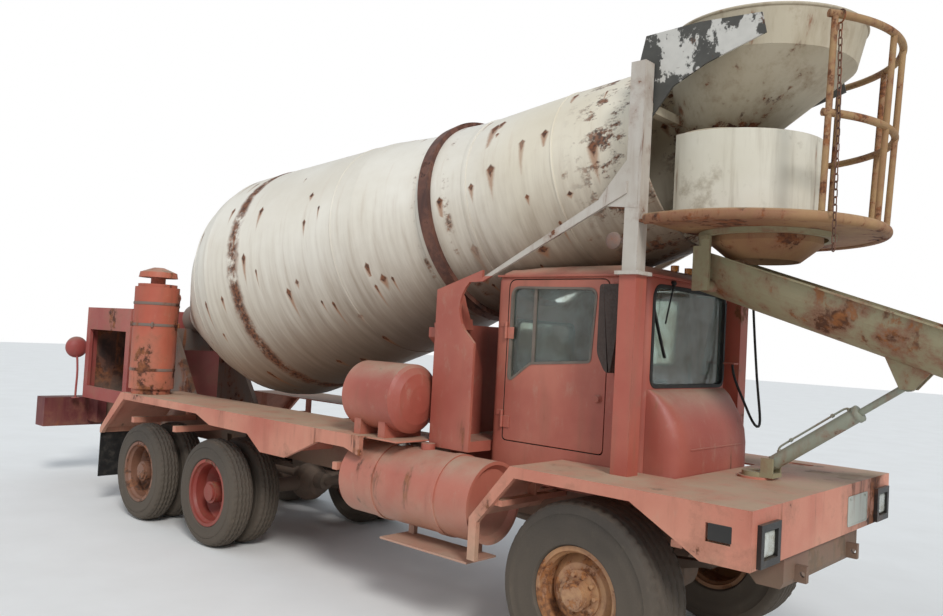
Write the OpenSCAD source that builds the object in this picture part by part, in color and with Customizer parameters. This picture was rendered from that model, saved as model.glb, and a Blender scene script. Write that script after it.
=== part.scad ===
/* [Chassis] */
// Front axle to the middle of the rear tandem
wheelbase = 5036; // [4900:10:5200]
// Distance between the two rear axles
tandem_gap = 1404; // [1380:1:1440]
// Front axle to the rearmost face of the rear bumper
rear_reach = 8750; // [8700:10:8900]
// Front axle to the face of the nose
nose_reach = 1154; // [1100:1:1200]
// Half of the width over the fenders
half_width = 1220; // [1215:1:1235]
// Half of the distance over the two frame rails
rail_half = 430; // [420:1:440]
// Height of a frame rail
rail_h = 260; // [240:1:280]
// Height of the rails' top above the ground
rail_top = 1100; // [1090:1:1110]
// Steel thickness of a rail
rail_t = 12; // [8:1:14]
// Width of a rail's flange
rail_flange = 90; // [80:1:95]

/* [Wheels] */
// Radius of the wide front tyres
front_r = 588; // [575:1:590]
// Width of the wide front tyres
front_w = 440; // [420:1:450]
// Radius of the rear tyres
rear_r = 520; // [505:1:530]
// Width of one rear tyre
rear_w = 245; // [235:1:250]
// Outer face of the front tyres from the middle of the truck
front_face = 1178; // [1170:1:1190]
// Outer face of the outer rear tyres from the middle of the truck
rear_face = 1200; // [1195:1:1210]
// Radius of the front rim's flange
front_rim_r = 306; // [300:1:310]
// Radius of the rear rim's flange
rear_rim_r = 323; // [315:1:326]
// Distance from the middle of the truck to a steering kingpin
kingpin_y = 690; // [680:1:700]

/* [Drum] */
// Slope of the drum's axis, rising to the front
drum_tilt = 11.5; // [10:0.5:12]
// Track ring's centre behind the front axle
ring_back = 1836; // [1820:1:1850]
// Height of the track ring's centre
ring_z = 3214; // [3205:1:3230]
// Radius of the drum's belly
belly_r = 1217; // [1190:1:1220]
// Radius of the drum at the track ring
neck_r = 826; // [820:1:832]
// Radius of the drum's mouth
mouth_r = 673; // [665:1:676]
// Ring to mouth along the axis
mouth_len = 1900; // [1890:1:1905]
// Ring to the rear end of the drum along the axis
tail_len = 4875; // [4850:5:4900]
// Wall of the drum
drum_wall = 14; // [8:1:16]
// Width of the track ring
ring_w = 110; // [90:1:115]
// Radial thickness of the track ring
ring_t = 41; // [36:1:45]
// Radius of a support roller
roller_r = 120; // [110:1:130]
// Angle of each support roller from the bottom of the ring
roller_angle = 40; // [38:1:42]

/* [Cab] */
// Cab's rear wall behind the front axle
cab_back = 1200; // [1190:1:1210]
// Cab's windshield ahead of the front axle
cab_front = 120; // [110:1:125]
// Half of the cab's width
cab_half = 610; // [600:1:615]
// Top of the cab's floor
cab_floor_z = 1160; // [1150:1:1170]
// Height of the cab roof at the back
cab_roof_back_z = 2530; // [2500:1:2535]
// Height of the cab roof at the front
cab_roof_front_z = 2760; // [2740:1:2770]
// Thickness of the cab's walls and doors
cab_t = 40; // [30:1:45]
// Height of the window sills
sill_z = 1880; // [1860:1:1900]
// Reach of the bulging nose panel ahead of the windshield
nose_bulge = 245; // [220:1:260]

/* [Deck] */
// Top of the front deck
deck_z = 1330; // [1320:1:1340]
// Height of the nose face
nose_h = 326; // [310:1:330]
// Top of the rear deck
rear_deck_z = 1345; // [1335:1:1350]
// Thickness of the deck plates
plate_t = 12; // [8:1:16]

/* [Hoppers] */
// Distance from the middle of the truck to a hopper post
post_y = 800; // [790:1:810]
// Width of a hopper post
post_w = 130; // [110:1:140]
// Height of the tray's floor
tray_z = 2985; // [2975:1:2995]
// Radius of the tray
tray_r = 925; // [910:1:935]
// Centre of the tray ahead of the front axle
tray_x = 500; // [490:1:510]
// Radius of the discharge tub
tub_r = 580; // [570:1:590]
// Height of the discharge tub
tub_h = 610; // [590:1:630]

/* [Chute] */
// Slope of the chute as parked, falling to the front
chute_slope = 18; // [17:0.5:19]
// Inner radius of the chute's trough
chute_r = 270; // [262:1:275]
// Wall of the chute's trough
chute_t = 10; // [8:1:12]
// Length of the folding extension
ext_len = 720; // [700:1:730]
// Slewing axis ahead of the front axle
slew_x = 650; // [645:1:655]
// Radius of the hinge pins
pin_r = 15; // [12:0.5:16]

/* [Hidden] */
fit = 0.3;
gap = 7;
eps = 1;
$fn = 64;

// The chute's hinge, its cylinder's pins and its far end, from the front axle
hinge_x = slew_x - 290;
hinge_z = 2620;
rim_at_hinge = 215;
base_x = slew_x + 100;
base_z = deck_z + 100;
eye_x = slew_x + 930;
eye_z = 2030;
main_x0 = hinge_x - 80;
main_x1 = hinge_x + 1590;
function rim_z(x) = hinge_z + rim_at_hinge - (x - hinge_x) * tan(chute_slope);
rim_lip = 12;
front_reach = main_x1 + ext_len * cos(chute_slope) + rim_lip * sin(chute_slope);
front_axle_x = (rear_reach - front_reach) / 2;

mid_axle_x = -wheelbase + tandem_gap / 2;
back_axle_x = -wheelbase - tandem_gap / 2;
rail_z0 = rail_top - rail_h;
front_y = front_face - front_w / 2;
rear_y_out = rear_face - rear_w / 2;
dual_gap = 55;
rear_y_in = rear_y_out - rear_w - dual_gap;
dual_mid = (rear_y_out + rear_y_in) / 2;

// A hydraulic hose hangs in a loop from the tray's left end to the cab's front pillar
hose_r = 10;
hose_path = [[245, 720, 2950], [245, 720, 2900], [246, 724, 2830], [248, 731, 2740], [251, 740, 2640],
  [255, 750, 2530], [260, 760, 2420], [266, 769, 2310], [273, 777, 2200], [281, 783, 2095],
  [290, 786, 1995], [301, 786, 1905], [313, 782, 1825], [326, 773, 1756], [339, 758, 1700],
  [351, 737, 1656], [360, 711, 1627], [365, 682, 1613], [365, 652, 1613], [360, 623, 1627],
  [350, 598, 1656], [335, 578, 1698], [316, 565, 1748], [294, 558, 1800], [270, 554, 1852],
  [246, 552, 1902], [225, 551, 1950], [209, 550, 1996], [199, 550, 2036], [196, 550, 2055], [196, 550, 2075]];
hose_start = hose_path[0];
hose_end = hose_path[len(hose_path) - 1];

WHITE = [0.82, 0.81, 0.76];
RED = [0.66, 0.25, 0.2];
DARK_RED = [0.38, 0.12, 0.11];
BLACK = [0.09, 0.09, 0.09];
RUST = [0.45, 0.33, 0.24];
STEEL = [0.4, 0.39, 0.37];
GLASS = [0.55, 0.68, 0.68, 0.4];

function arc(cx, cy, r, a0, a1, n) =
  [for (i = [0:n]) [cx + r * cos(a0 + (a1 - a0) * i / n), cy + r * sin(a0 + (a1 - a0) * i / n)]];

// Rectangle from [x0, y0] to [x1, y1] with round corners, in the order
// low-low, high-low, high-high, low-high
function round_rect(x0, y0, x1, y1, r, n = 5) = concat(
  arc(x0 + r[0], y0 + r[0], r[0], 180, 270, n), arc(x1 - r[1], y0 + r[1], r[1], 270, 360, n),
  arc(x1 - r[2], y1 - r[2], r[2], 0, 90, n), arc(x0 + r[3], y1 - r[3], r[3], 90, 180, n));

// A flat outline in x and z, as thick as t in y, centred on the height y
module side_plate(y, t, points) {
  translate([0, y + t / 2, 0])
    rotate([90, 0, 0])
      linear_extrude(t)
        polygon(points);
}

// The same outline on both sides of the truck
module both_sides(y, t, points) {
  side_plate(y, t, points);
  side_plate(-y, t, points);
}

// A box given by its lowest and highest corners
module block(a, b) {
  translate(a)
    cube(b - a);
}

// A round bar between two points
module bar(a, b, r, faces = 16) {
  d = b - a;
  l = norm(d);
  translate(a)
    rotate([0, acos(d[2] / l), atan2(d[1], d[0])])
      cylinder(r = r, h = l, $fn = faces);
}

// A cylinder along y, from y0 to y1
module cyl_y(x, z, y0, y1, r) {
  translate([x, y0, z])
    rotate([-90, 0, 0])
      cylinder(r = r, h = y1 - y0);
}

// Everything is drawn from the front axle and moved so that the truck is centred
module placed() {
  translate([front_axle_x, 0, 0])
    children();
}

module drum_frame() {
  translate([-ring_back, 0, ring_z])
    rotate([0, 90 - drum_tilt, 0])
      children();
}

// Frame: two channel rails joined by cross members
rail_x1 = nose_reach - 260;
rail_x0 = -rear_reach + 260;
drive_x = -ring_back - (tail_len + 20) * cos(drum_tilt);
drive_z = ring_z - (tail_len + 20) * sin(drum_tilt);
hood_x1 = drive_x - 427;
hood_x0 = -rear_reach + 450;
hood_half = 750;
hood_z = 2300;
cross_x = [rail_x0 + 190, hood_x1 - 40, -wheelbase, -3400, -2350, -1350, -650, 640];

module channel() {
  difference() {
    square([rail_flange, rail_h]);
    translate([-eps, rail_t])
      square([rail_flange - rail_t + eps, rail_h - 2 * rail_t]);
  }
}

module frame_rails() {
  color(RED)
    difference() {
      union() {
        for (s = [-1, 1])
          mirror([0, s < 0 ? 1 : 0, 0])
            translate([rail_x0, rail_half - rail_flange, rail_z0])
              rotate([90, 0, 90])
                linear_extrude(rail_x1 - rail_x0)
                  channel();
        for (x = cross_x)
          block([x - 40, -rail_half + rail_t, rail_z0 + 40],
            [x + 40, rail_half - rail_t, rail_top - 40]);
      }
      translate([rail_x0 - 10, -60, 960])
        rotate([0, 90, 0])
          cylinder(r = 60, h = 6000);
    }
}

module nose_beam() {
  color(DARK_RED)
    difference() {
      union() {
        side_plate(0, 1300, [[rail_x1, rail_top - 60], [rail_x1, 860], [rail_x1 + 60, 800],
          [nose_reach - 60, 800], [nose_reach - 40, 840], [nose_reach - 40, deck_z - nose_h - 1],
          [rail_x1 + 60, deck_z - nose_h - 1], [rail_x1 + 60, rail_top - 60]]);
        for (y = [-460, 460])
          block([nose_reach - 41, y - 20, 820], [nose_reach + 30, y + 20, 920]);
      }
      side_plate(0, 1276, [[rail_x1 + 14, 990], [rail_x1 + 14, 862], [rail_x1 + 66, 814],
        [nose_reach - 66, 814], [nose_reach - 54, 842], [nose_reach - 54, 990]]);
      for (y = [-460, 460])
        cyl_y(nose_reach + 5, 870, y - 30, y + 30, 18);
    }
}

// An axle's bowl about the x axis
module bowl(r) {
  rotate([0, 90, 0])
    rotate_extrude()
      polygon([[0, -r * 0.8], [r * 0.6, -r * 0.8], [r * 0.93, -r * 0.35], [r, 0], [r * 0.93, r * 0.35],
        [r * 0.6, r * 0.8], [0, r * 0.8]]);
}

// Front axle: a driven steering axle with an off-centre bowl and kingpin forks
module front_axle() {
  color(DARK_RED)
    difference() {
      union() {
        cyl_y(0, front_r, -kingpin_y + 80, kingpin_y - 80, 62);
        translate([0, 120, front_r])
          bowl(185);
        translate([-240, 120, front_r])
          rotate([0, 90, 0])
            cylinder(r = 80, h = 200);
        for (s = [-1, 1])
          block([-75, s * (kingpin_y - 30) - 75, front_r - 110],
            [75, s * (kingpin_y - 30) + 75, front_r + 110]);
      }
      for (s = [-1, 1]) {
        block([-90, s * kingpin_y - 70, front_r - 75], [90, s * kingpin_y + 70, front_r + 75]);
        translate([0, s * kingpin_y, front_r - 130])
          cylinder(r = 20 + fit, h = 260);
      }
    }
}

// Leaf springs: stacked leaves, clipped to the axle and hung from the rails
leaf_n = 7;
module front_springs() {
  color(BLACK)
    for (s = [-1, 1])
      translate([0, s * 385, 0]) {
        side_plate(0, 80, concat(
          [for (i = [0:leaf_n]) [-600 + i * 70, 784 - i * 14 - (600 - abs(-600 + i * 70)) * 0.07]],
          [for (i = [leaf_n:-1:0]) [600 - i * 70, 784 - i * 14 - (600 - abs(600 - i * 70)) * 0.07]],
          [[600, 800], [0, 752], [-600, 800]]));
        for (x = [-600, 600])
          block([x - 45, -30, 784], [x + 45, 30, rail_z0]);
        block([-90, -45, front_r + 62.3], [90, 45, 660]);
      }
}

module rear_axles() {
  color(DARK_RED)
    for (x = [mid_axle_x, back_axle_x])
      union() {
        cyl_y(x, rear_r, -rear_face + 75, rear_face - 75, 50);
        cyl_y(x, rear_r, -590, 590, 75);
        translate([x, 60, rear_r])
          bowl(200);
        for (s = [-1, 1])
          cyl_y(x, rear_r, s * 600 - 12, s * 600 + 12, 190);
        translate([x + 60, 60, rear_r + 40])
          rotate([0, 90, 0])
            cylinder(r = 85, h = 230);
        if (x == mid_axle_x)
          translate([x - 230, 60, rear_r + 60])
            rotate([0, 90, 0])
              cylinder(r = 70, h = 150);
      }
}

// Walking beams: one beam on each side rocks on a trunnion under the rail
beam_y = 520;
trunnion_z = rear_r - 60;
bearer_z = rail_top - 70;
module walking_beams() {
  color(DARK_RED) {
    for (s = [-1, 1])
      difference() {
        side_plate(s * beam_y, 80, [[back_axle_x - 110, rear_r + 40], [back_axle_x - 110, rear_r - 75],
          [back_axle_x + 60, rear_r - 130], [mid_axle_x - 60, rear_r - 130],
          [mid_axle_x + 110, rear_r - 75], [mid_axle_x + 110, rear_r + 40],
          [mid_axle_x - 160, rear_r + 40], [-wheelbase + 120, rear_r + 20],
          [-wheelbase - 120, rear_r + 20], [back_axle_x + 160, rear_r + 40]]);
        for (x = [mid_axle_x, back_axle_x])
          cyl_y(x, rear_r, s * beam_y - 60, s * beam_y + 60, 75 + fit);
      }
    for (s = [-1, 1])
      mirror([0, s < 0 ? 1 : 0, 0])
        difference() {
          side_plate(rail_half + 24.5, 49, [[-wheelbase - 260, bearer_z - fit],
            [-wheelbase - 80, trunnion_z - 60], [-wheelbase + 80, trunnion_z - 60],
            [-wheelbase + 260, bearer_z - fit]]);
          side_plate(rail_half + 25, 60, [[-wheelbase - 120, bearer_z - 60],
            [-wheelbase - 50, trunnion_z + 150], [-wheelbase + 50, trunnion_z + 150],
            [-wheelbase + 120, bearer_z - 60]]);
        }
    cyl_y(-wheelbase, trunnion_z, -beam_y + 40.5, beam_y - 40.5, 40);
  }
}

// Driveline: transfer case and open shafts
module driveline() {
  color(BLACK) {
    block([-3260, -190, 720], [-2880, 190, 1060]);
    bar([-3260, 60, 830], [mid_axle_x + 305.5, 60, rear_r + 40], 45);
    bar([-2880, 120, 800], [-243.7, 120, front_r], 40);
    block([-3110, -rail_half + rail_t, 980], [-3030, rail_half - rail_t, 1030]);
    bar([mid_axle_x - 231.3, 60, rear_r + 60], [back_axle_x + 291.3, 60, rear_r + 40], 40);
    bar([-3260, -60, 960], [hood_x1 + 60, -60, 960], 42);
  }
}

// Engine at the back, its radiator, hood and bumper
module engine_block() {
  color(STEEL)
    union() {
      block([hood_x0 + 180, -260, rail_top - 100], [hood_x1 - 90, 260, 1780]);
      block([hood_x0 + 300, -330, 1240], [hood_x1 - 240, 330, 1560]);
      for (x = [hood_x0 + 350, hood_x1 - 290])
        block([x - 50, -rail_half, rail_top], [x + 50, rail_half, rail_top + 60]);
    }
}

module radiator() {
  color(BLACK)
    difference() {
      block([hood_x0 - 60, -620, rail_top], [hood_x0 + 40, 620, 2200]);
      for (i = [0:8])
        block([hood_x0 - 70, -570 + i * 128, 1240], [hood_x0 - 30, -480 + i * 128, 2140]);
    }
}

module engine_hood() {
  color(RED)
    difference() {
      block([hood_x0, -hood_half, rail_top], [hood_x1, hood_half, hood_z]);
      block([hood_x0 + 110, -hood_half - eps, 1260], [hood_x1 - 110, hood_half - 40, 2010]);
      block([hood_x0 + 45, -hood_half + 40, rail_top - 1], [hood_x1 - 40, hood_half - 40, 2260]);
      block([hood_x0 - eps, -620.5, rail_top - 1], [hood_x0 + 50, 620.5, 2200.5]);
    }
}

module rear_bumper() {
  color(DARK_RED)
    difference() {
      union() {
        block([-rear_reach, -half_width + 70, 700], [rail_x0, half_width - 70, 1080]);
        for (s = [-1, 1])
          block([rail_x0, s * 520 - 60, 760], [rail_x0 + 290, s * 520 + 60, 1060]);
      }
      block([-rear_reach + 30, -half_width + 120, 690], [rail_x0 - 29, half_width - 120, 1050]);
    }
}

// Rear deck: a plate, a folded flange and skirts on each side
deck_x0 = back_axle_x - 922;
module rear_deck() {
  z = rear_deck_z;
  color(RED)
    for (s = [-1, 1])
      mirror([0, s < 0 ? 1 : 0, 0]) {
        side_plate(half_width - 20, 40, [[deck_x0, 840], [deck_x0 + 40, 840], [deck_x0 + 100, 900],
          [deck_x0 + 530, z - 75], [mid_axle_x - 226, z - 75], [mid_axle_x + 34, z - 160], [-3640, z - 165],
          [-3420, 1040], [-3050, 1040], [-2600, z - 110], [-2250, z - 110], [-2080, 1190], [-2060, 1190],
          [-2060, z], [deck_x0 + 460, z], [deck_x0, 900]]);
        side_plate((rail_half + 60 + half_width - 40) / 2, half_width - 40 - rail_half - 60,
          [[deck_x0, 840], [deck_x0 + 12, 840], [deck_x0 + 12, 896], [deck_x0 + 465, z - plate_t],
          [ped_x0 - 15, z - plate_t], [ped_x0 - 15, z], [deck_x0 + 460, z], [deck_x0, 900]]);
        for (x = [-5950, -wheelbase, -3400, -2400])
          block([x - 30, rail_half, bearer_z], [x + 30, half_width - 40, rail_top - 10]);
        for (x = [-5950, -wheelbase, -3400, -2400])
          block([x - 30, rail_half + 62, rail_top - 11], [x + 30, rail_half + 102, z - plate_t]);
      }
}

module mud_flaps() {
  flap_y = half_width - 295;
  color(BLACK)
    for (s = [-1, 1])
      block([deck_x0 - 12, s * flap_y - 280, 330], [deck_x0 - 0.5, s * flap_y + 280, 960]);
}

// Air cleaner: canister, neck and mushroom cap on the rear deck, and its pipe to the engine
air_x = -6000;
air_y = -half_width + 252;
air_r = 240;
pipe_r = 65;
pipe_z = 2440;
module air_cleaner() {
  bend = [air_x - 20, -745, pipe_z];
  low = [air_x - 150, -700, 1980];
  hood_end = [hood_x1 + 14, -560, 1900];
  color(RED)
    union() {
      translate([air_x, air_y, rear_deck_z])
        cylinder(r = air_r - 30, h = 1235);
      translate([air_x, air_y, rear_deck_z + 60])
        cylinder(r = air_r, h = 1140);
      translate([air_x, air_y, rear_deck_z + 1234])
        cylinder(r = 80, h = 110);
      translate([air_x, air_y, rear_deck_z + 1310])
        cylinder(r1 = air_r - 30, r2 = air_r - 42, h = 60);
      translate([air_x, air_y, rear_deck_z + 1369])
        cylinder(r1 = air_r - 42, r2 = 60, h = 55);
      bar([air_x, air_y, pipe_z], bend, pipe_r, 32);
      bar(bend, low, pipe_r, 32);
      bar(low, hood_end, pipe_r, 32);
      translate([hood_x1 + fit, hood_end[1], hood_end[2]])
        rotate([0, 90, 0])
          cylinder(r = pipe_r + 12, h = 42);
      for (p = [bend, low])
        translate(p)
          sphere(r = pipe_r + 7);
    }
}

// Front deck: nose box, arch strips and deck plates round the cab
arch_back = -860;
lamp_y = half_width - 210;
lamp_z = 1130;
lamp_w = 230;
lamp_h = 200;
module front_deck() {
  z0 = deck_z - nose_h;
  color(RED)
    difference() {
      union() {
        both_sides(half_width - 20, 40, [[nose_reach, z0], [nose_reach, deck_z], [-520, deck_z],
          [arch_back, 930], [arch_back, 640], [arch_back + 70, 640], [arch_back + 70, 905],
          [-480, deck_z - 75], [400, deck_z - 75], [863, z0]]);
        both_sides((half_width - 40 + rail_half) / 2, half_width - 40 - rail_half,
          [[nose_reach, deck_z - plate_t], [nose_reach, deck_z], [-520, deck_z], [arch_back, 930],
          [arch_back + 12, 930], [-514, deck_z - plate_t]]);
        block([nose_reach - 14, -half_width, z0], [nose_reach, half_width, deck_z]);
        block([cab_front + 20, -rail_half - 1, deck_z - plate_t], [nose_reach, rail_half + 1, deck_z]);
        for (x = [480, 780])
          block([x - 30, -rail_half - 60, rail_top], [x + 30, rail_half + 60, deck_z - plate_t + 1]);
        for (s = [-1, 1])
          mirror([0, s < 0 ? 1 : 0, 0]) {
            for (x = [-640, 700])
              block([x - 35, rail_half, 1040], [x + 35, half_width - 39, 1080]);
            side_plate(800, 20, [[-675, 1060], [-605, 1060], [-605, 1216], [-675, 1135]]);
            block([670, 790, 1060], [730, 810, deck_z - plate_t + 1]);
          }
        translate([slew_x, 0, deck_z - 1])
          cylinder(r = 120, h = 16);
        translate([slew_x, 0, deck_z])
          cylinder(r = 25, h = 40);
      }
      for (s = [-1, 1])
        block([nose_reach - 20, s * lamp_y - lamp_w / 2, lamp_z - lamp_h / 2],
          [nose_reach + 1, s * lamp_y + lamp_w / 2, lamp_z + lamp_h / 2]);
      for (s = [-1, 1])
        block([890, s * half_width - 50, 1120], [1040, s * half_width + 50, 1225]);
      block([-600, -cab_half - 15, deck_z - plate_t - 1],
        [cab_front + nose_bulge + 15, cab_half + 15, deck_z + 1]);
      for (s = [-1, 1])
        mirror([0, s < 0 ? 1 : 0, 0])
          block([-900, rail_half - 1, 1085], [-400, cab_half + 15, deck_z + 1]);
      translate([570, 1010, deck_z - 30])
        linear_extrude(60)
          polygon(concat(arc(-60, 0, 45, 90, 270, 8), arc(60, 0, 45, -90, 90, 8)));
    }
}

module headlamps() {
  color(BLACK)
    for (s = [-1, 1])
      translate([nose_reach, s * lamp_y, lamp_z])
        difference() {
          union() {
            block([-90, -lamp_w / 2 + 1, -lamp_h / 2 + 1], [12, lamp_w / 2 - 1, lamp_h / 2 - 1]);
            block([0.2, -lamp_w / 2 - 18, -lamp_h / 2 - 18], [26, lamp_w / 2 + 18, lamp_h / 2 + 18]);
          }
          block([-30, -lamp_w / 2 + 22, -lamp_h / 2 + 22], [30, lamp_w / 2 - 22, lamp_h / 2 - 22]);
        }
}

// Cab: a shell from three crossed outlines, with its windows and doorways cut
module cab_solid(t) {
  x0 = -cab_back + t;
  x1 = cab_front - t;
  intersection() {
    translate([0, 0, cab_floor_z - 100])
      linear_extrude(2000)
        polygon(round_rect(x0, -cab_half + t, x1, cab_half - t, [60, 170, 170, 60]));
    side_plate(0, 3000, concat([[x0, cab_floor_z + t], [x1, cab_floor_z + t]],
      arc(x1 - 110, cab_roof_front_z - t - 118, 110, 0, 82, 5),
      arc(x0 + 60, cab_roof_back_z - t - 60, 60, 98, 180, 3)));
    translate([x0 - 10, 0, 0])
      rotate([90, 0, 90])
        linear_extrude(3000)
          polygon(concat([[-cab_half + t, 900], [cab_half - t, 900]],
            arc(cab_half - t - 110, 2450 - t, 110, 0, 60, 4),
            arc(0, cab_roof_front_z - 20 - t - 800, 800, 60, 120, 6),
            arc(-cab_half + t + 110, 2450 - t, 110, 120, 180, 4)));
  }
}

module nose_solid(t) {
  x0 = cab_front - 40;
  x1 = cab_front + nose_bulge - t;
  intersection() {
    translate([0, 0, cab_floor_z + t])
      linear_extrude(sill_z - cab_floor_z - t)
        polygon(round_rect(x0, -cab_half + 30 + t, x1, cab_half - 30 - t, [1, 190, 190, 1]));
    side_plate(0, 3000, concat([[x0, cab_floor_z], [x1, cab_floor_z], [x1, 1480]],
      arc(x1 - 200, 1520, 200, 0, 60, 5), [[x0, sill_z - t]]));
  }
}

hinge_out = 14;
hinge_heights = [1500, 2180];
door_x0 = -1110;
door_x1 = -190;
door_z0 = 1400;
door_z1 = 2430;
window_x0 = -1040;
window_x1 = -270;
window_top = 2370;
function door_outline(g) =
  round_rect(door_x0 + g, door_z0 + g, door_x1 - g, door_z1 - g, [40, 40, 80, 80], 4);
function door_window() = concat([[window_x0 + 260, sill_z - 10], [window_x1, sill_z - 10]],
  arc(window_x1 - 60, window_top - 60, 60, 0, 90, 4), arc(window_x0 + 60, window_top - 60, 60, 90, 180, 4),
  [[window_x0, sill_z + 150]]);

module cab_shell() {
  color(RED)
    difference() {
      union() {
        difference() {
          union() {
            cab_solid(0);
            nose_solid(0);
          }
          cab_solid(cab_t);
          nose_solid(cab_t);
          block([cab_front - 80, -cab_half + 160, cab_floor_z + cab_t],
            [cab_front + 30, cab_half - 160, sill_z - 130]);
        }
        for (y = [-cab_half + 60, cab_half - 240])
          block([-cab_back + 10, y, rail_top], [cab_front - 20, y + 180, cab_floor_z + 10]);
        block([60, hose_end[1] - 20, hose_end[2] + fit], hose_end + [20, 20, 30]);
        for (s = [-1, 1])
          mirror([0, s < 0 ? 1 : 0, 0])
            for (z = hinge_heights) {
              translate([door_x0, cab_half + hinge_out, z + 91])
                cylinder(r = 12, h = 40);
              block([door_x0 - 60, cab_half - 1, z + 91], [door_x0, cab_half + 8, z + 131]);
            }
      }
      both_sides(cab_half - cab_t / 2, cab_t + 40, door_outline(0));
      side_plate(0, 2000, round_rect(-130, sill_z + 20, -75, window_top, [15, 15, 20, 20], 3));
      translate([cab_front - 100, 0, 0])
        rotate([90, 0, 90])
          linear_extrude(300)
            polygon(round_rect(-cab_half + 130, sill_z + 40, cab_half - 130, 2480, [60, 60, 90, 90], 4));
      translate([-cab_back - 50, 0, 0])
        rotate([90, 0, 90])
          linear_extrude(200)
            polygon(round_rect(-380, 1900, 380, 2330, [50, 50, 50, 50], 4));
    }
}

module cab_glass() {
  color(GLASS) {
    intersection() {
      difference() {
        cab_solid(16);
        cab_solid(22);
      }
      translate([cab_front - 120, 0, 0])
        rotate([90, 0, 90])
          linear_extrude(200)
            polygon(round_rect(-cab_half + 130.4, sill_z + 40.4, cab_half - 130.4, 2479.6,
              [60, 60, 90, 90], 4));
    }
    translate([-cab_back + 16, 0, 0])
      rotate([90, 0, 90])
        linear_extrude(6)
          polygon(round_rect(-379.6, 1900.4, 379.6, 2329.6, [50, 50, 50, 50], 4));
    both_sides(cab_half - 19, 6,
      round_rect(-129.5, sill_z + 20.5, -75.5, window_top - 0.5, [15, 15, 20, 20], 3));
  }
}

module marker_lamps() {
  color([0.75, 0.4, 0.08])
    for (y = [-60, 150])
      difference() {
        translate([0, y, cab_roof_front_z - 80])
          cylinder(r = 30, h = 100);
        cab_solid(0);
      }
}

module door(s) {
  color(RED)
    mirror([0, s < 0 ? 1 : 0, 0])
      union() {
        difference() {
          side_plate(cab_half - cab_t / 2, cab_t, door_outline(gap));
          side_plate(cab_half - cab_t / 2, cab_t + 20, door_window());
        }
        cyl_y(door_x1 - 60, sill_z - 90, cab_half - 1, cab_half + 30, 28);
        for (z = hinge_heights) {
          translate([door_x0, cab_half + hinge_out, z])
            cylinder(r = 12, h = 90);
          block([door_x0, cab_half - 1, z], [door_x0 + 60, cab_half + 8, z + 90]);
        }
      }
}

module door_right() {
  door(-1);
}

module door_left() {
  door(1);
}

module door_glass(s) {
  color(GLASS)
    side_plate(s * (cab_half - cab_t / 2), 6, door_window());
}

module door_glass_right() {
  door_glass(-1);
}

module door_glass_left() {
  door_glass(1);
}

module seat() {
  foot_z = cab_floor_z + cab_t;
  top_z = foot_z + 460;
  color(BLACK) {
    translate([-900, 0, foot_z])
      linear_extrude(330)
        polygon(round_rect(-60, -190, 340, 190, [20, 20, 20, 20], 3));
    side_plate(0, 480, round_rect(-960, top_z - 130, -480, top_z, [30, 60, 60, 30], 4));
    side_plate(0, 460, [[-1090, top_z + 290], [-1090, top_z - 10], [-1000, top_z + 0.5],
      [-900, top_z + 0.5], [-980, top_z + 40], [-1010, top_z + 320], [-1040, top_z + 340]]);
  }
}

module steering_wheel() {
  color(BLACK)
    union() {
      translate([-290, 0, 1815])
        rotate([0, -30, 0]) {
          rotate_extrude()
            translate([215, 0])
              circle(r = 15);
          cylinder(r = 45, h = 30, center = true);
          for (a = [0, 120, 240])
            rotate([0, 0, a])
              block([20, -14, -7], [215, 14, 7]);
        }
      bar([-286, 0, 1808], [-60, 0, 1395], 26);
      block([-160, -420, 1390], [cab_front - 60, 420, 1700]);
      block([-110, -90, cab_floor_z + cab_t], [cab_front - 60, 90, 1391]);
    }
}

// Fuel tank: a dished cylinder on straps
tank_x0 = -2300;
tank_x1 = -900;
tank_r = 300;
tank_y = -910;
tank_z = 985;
module fuel_tank() {
  color(RED)
    union() {
      translate([tank_x0, tank_y, tank_z])
        rotate([0, 90, 0])
          difference() {
            union() {
              cylinder(r = tank_r, h = tank_x1 - tank_x0);
              for (x = [330, 1010])
                translate([0, 0, x])
                  cylinder(r = tank_r + 9, h = 70);
              translate([0, 0, 700])
                rotate([0, -90, 0])
                  translate([0, 0, tank_r - 5])
                    cylinder(r = 55, h = 50);
            }
            translate([0, 0, -eps])
              cylinder(r1 = tank_r - 25, r2 = tank_r - 60, h = 40);
            translate([0, 0, tank_x1 - tank_x0 - 39])
              cylinder(r1 = tank_r - 60, r2 = tank_r - 25, h = 40);
          }
      for (x = [tank_x0 + 365, tank_x0 + 1045])
        difference() {
          block([x - 35, -rail_half - 260, tank_z - 150], [x + 35, -rail_half, tank_z + 60]);
          translate([x - 50, tank_y, tank_z])
            rotate([0, 90, 0])
              cylinder(r = tank_r - 20, h = 100);
        }
    }
}

module tank_step() {
  color(RUST)
    union() {
      block([-1780, -half_width + 20, 596], [-880, tank_y + 30, 610]);
      for (x = [-1715, -1035])
        block([x - 30, tank_y - 20, 600], [x + 30, tank_y + 20, tank_z - tank_r - fit]);
    }
}

// Water tank: a cylinder with domed ends, behind the cab
water_x0 = -2420;
water_x1 = -1690;
water_y = -930;
water_r = 275;
module water_tank() {
  color(RED)
    union() {
      translate([water_x0 + 90, water_y, rear_deck_z + water_r + 40])
        rotate([0, 90, 0]) {
          cylinder(r = water_r, h = water_x1 - water_x0 - 180);
          rotate_extrude()
            polygon([[0, -90], [110, -82], [200, -58], [250, -25], [water_r, 0], [0, 1]]);
          translate([0, 0, water_x1 - water_x0 - 180])
            rotate_extrude()
              polygon([[0, 90], [110, 82], [200, 58], [250, 25], [water_r, 0], [0, -1]]);
        }
      for (x = [water_x0 + 220, water_x1 - 220])
        block([x - 40, water_y - 200, rear_deck_z], [x + 40, water_y + 200, rear_deck_z + 200]);
    }
}

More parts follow.
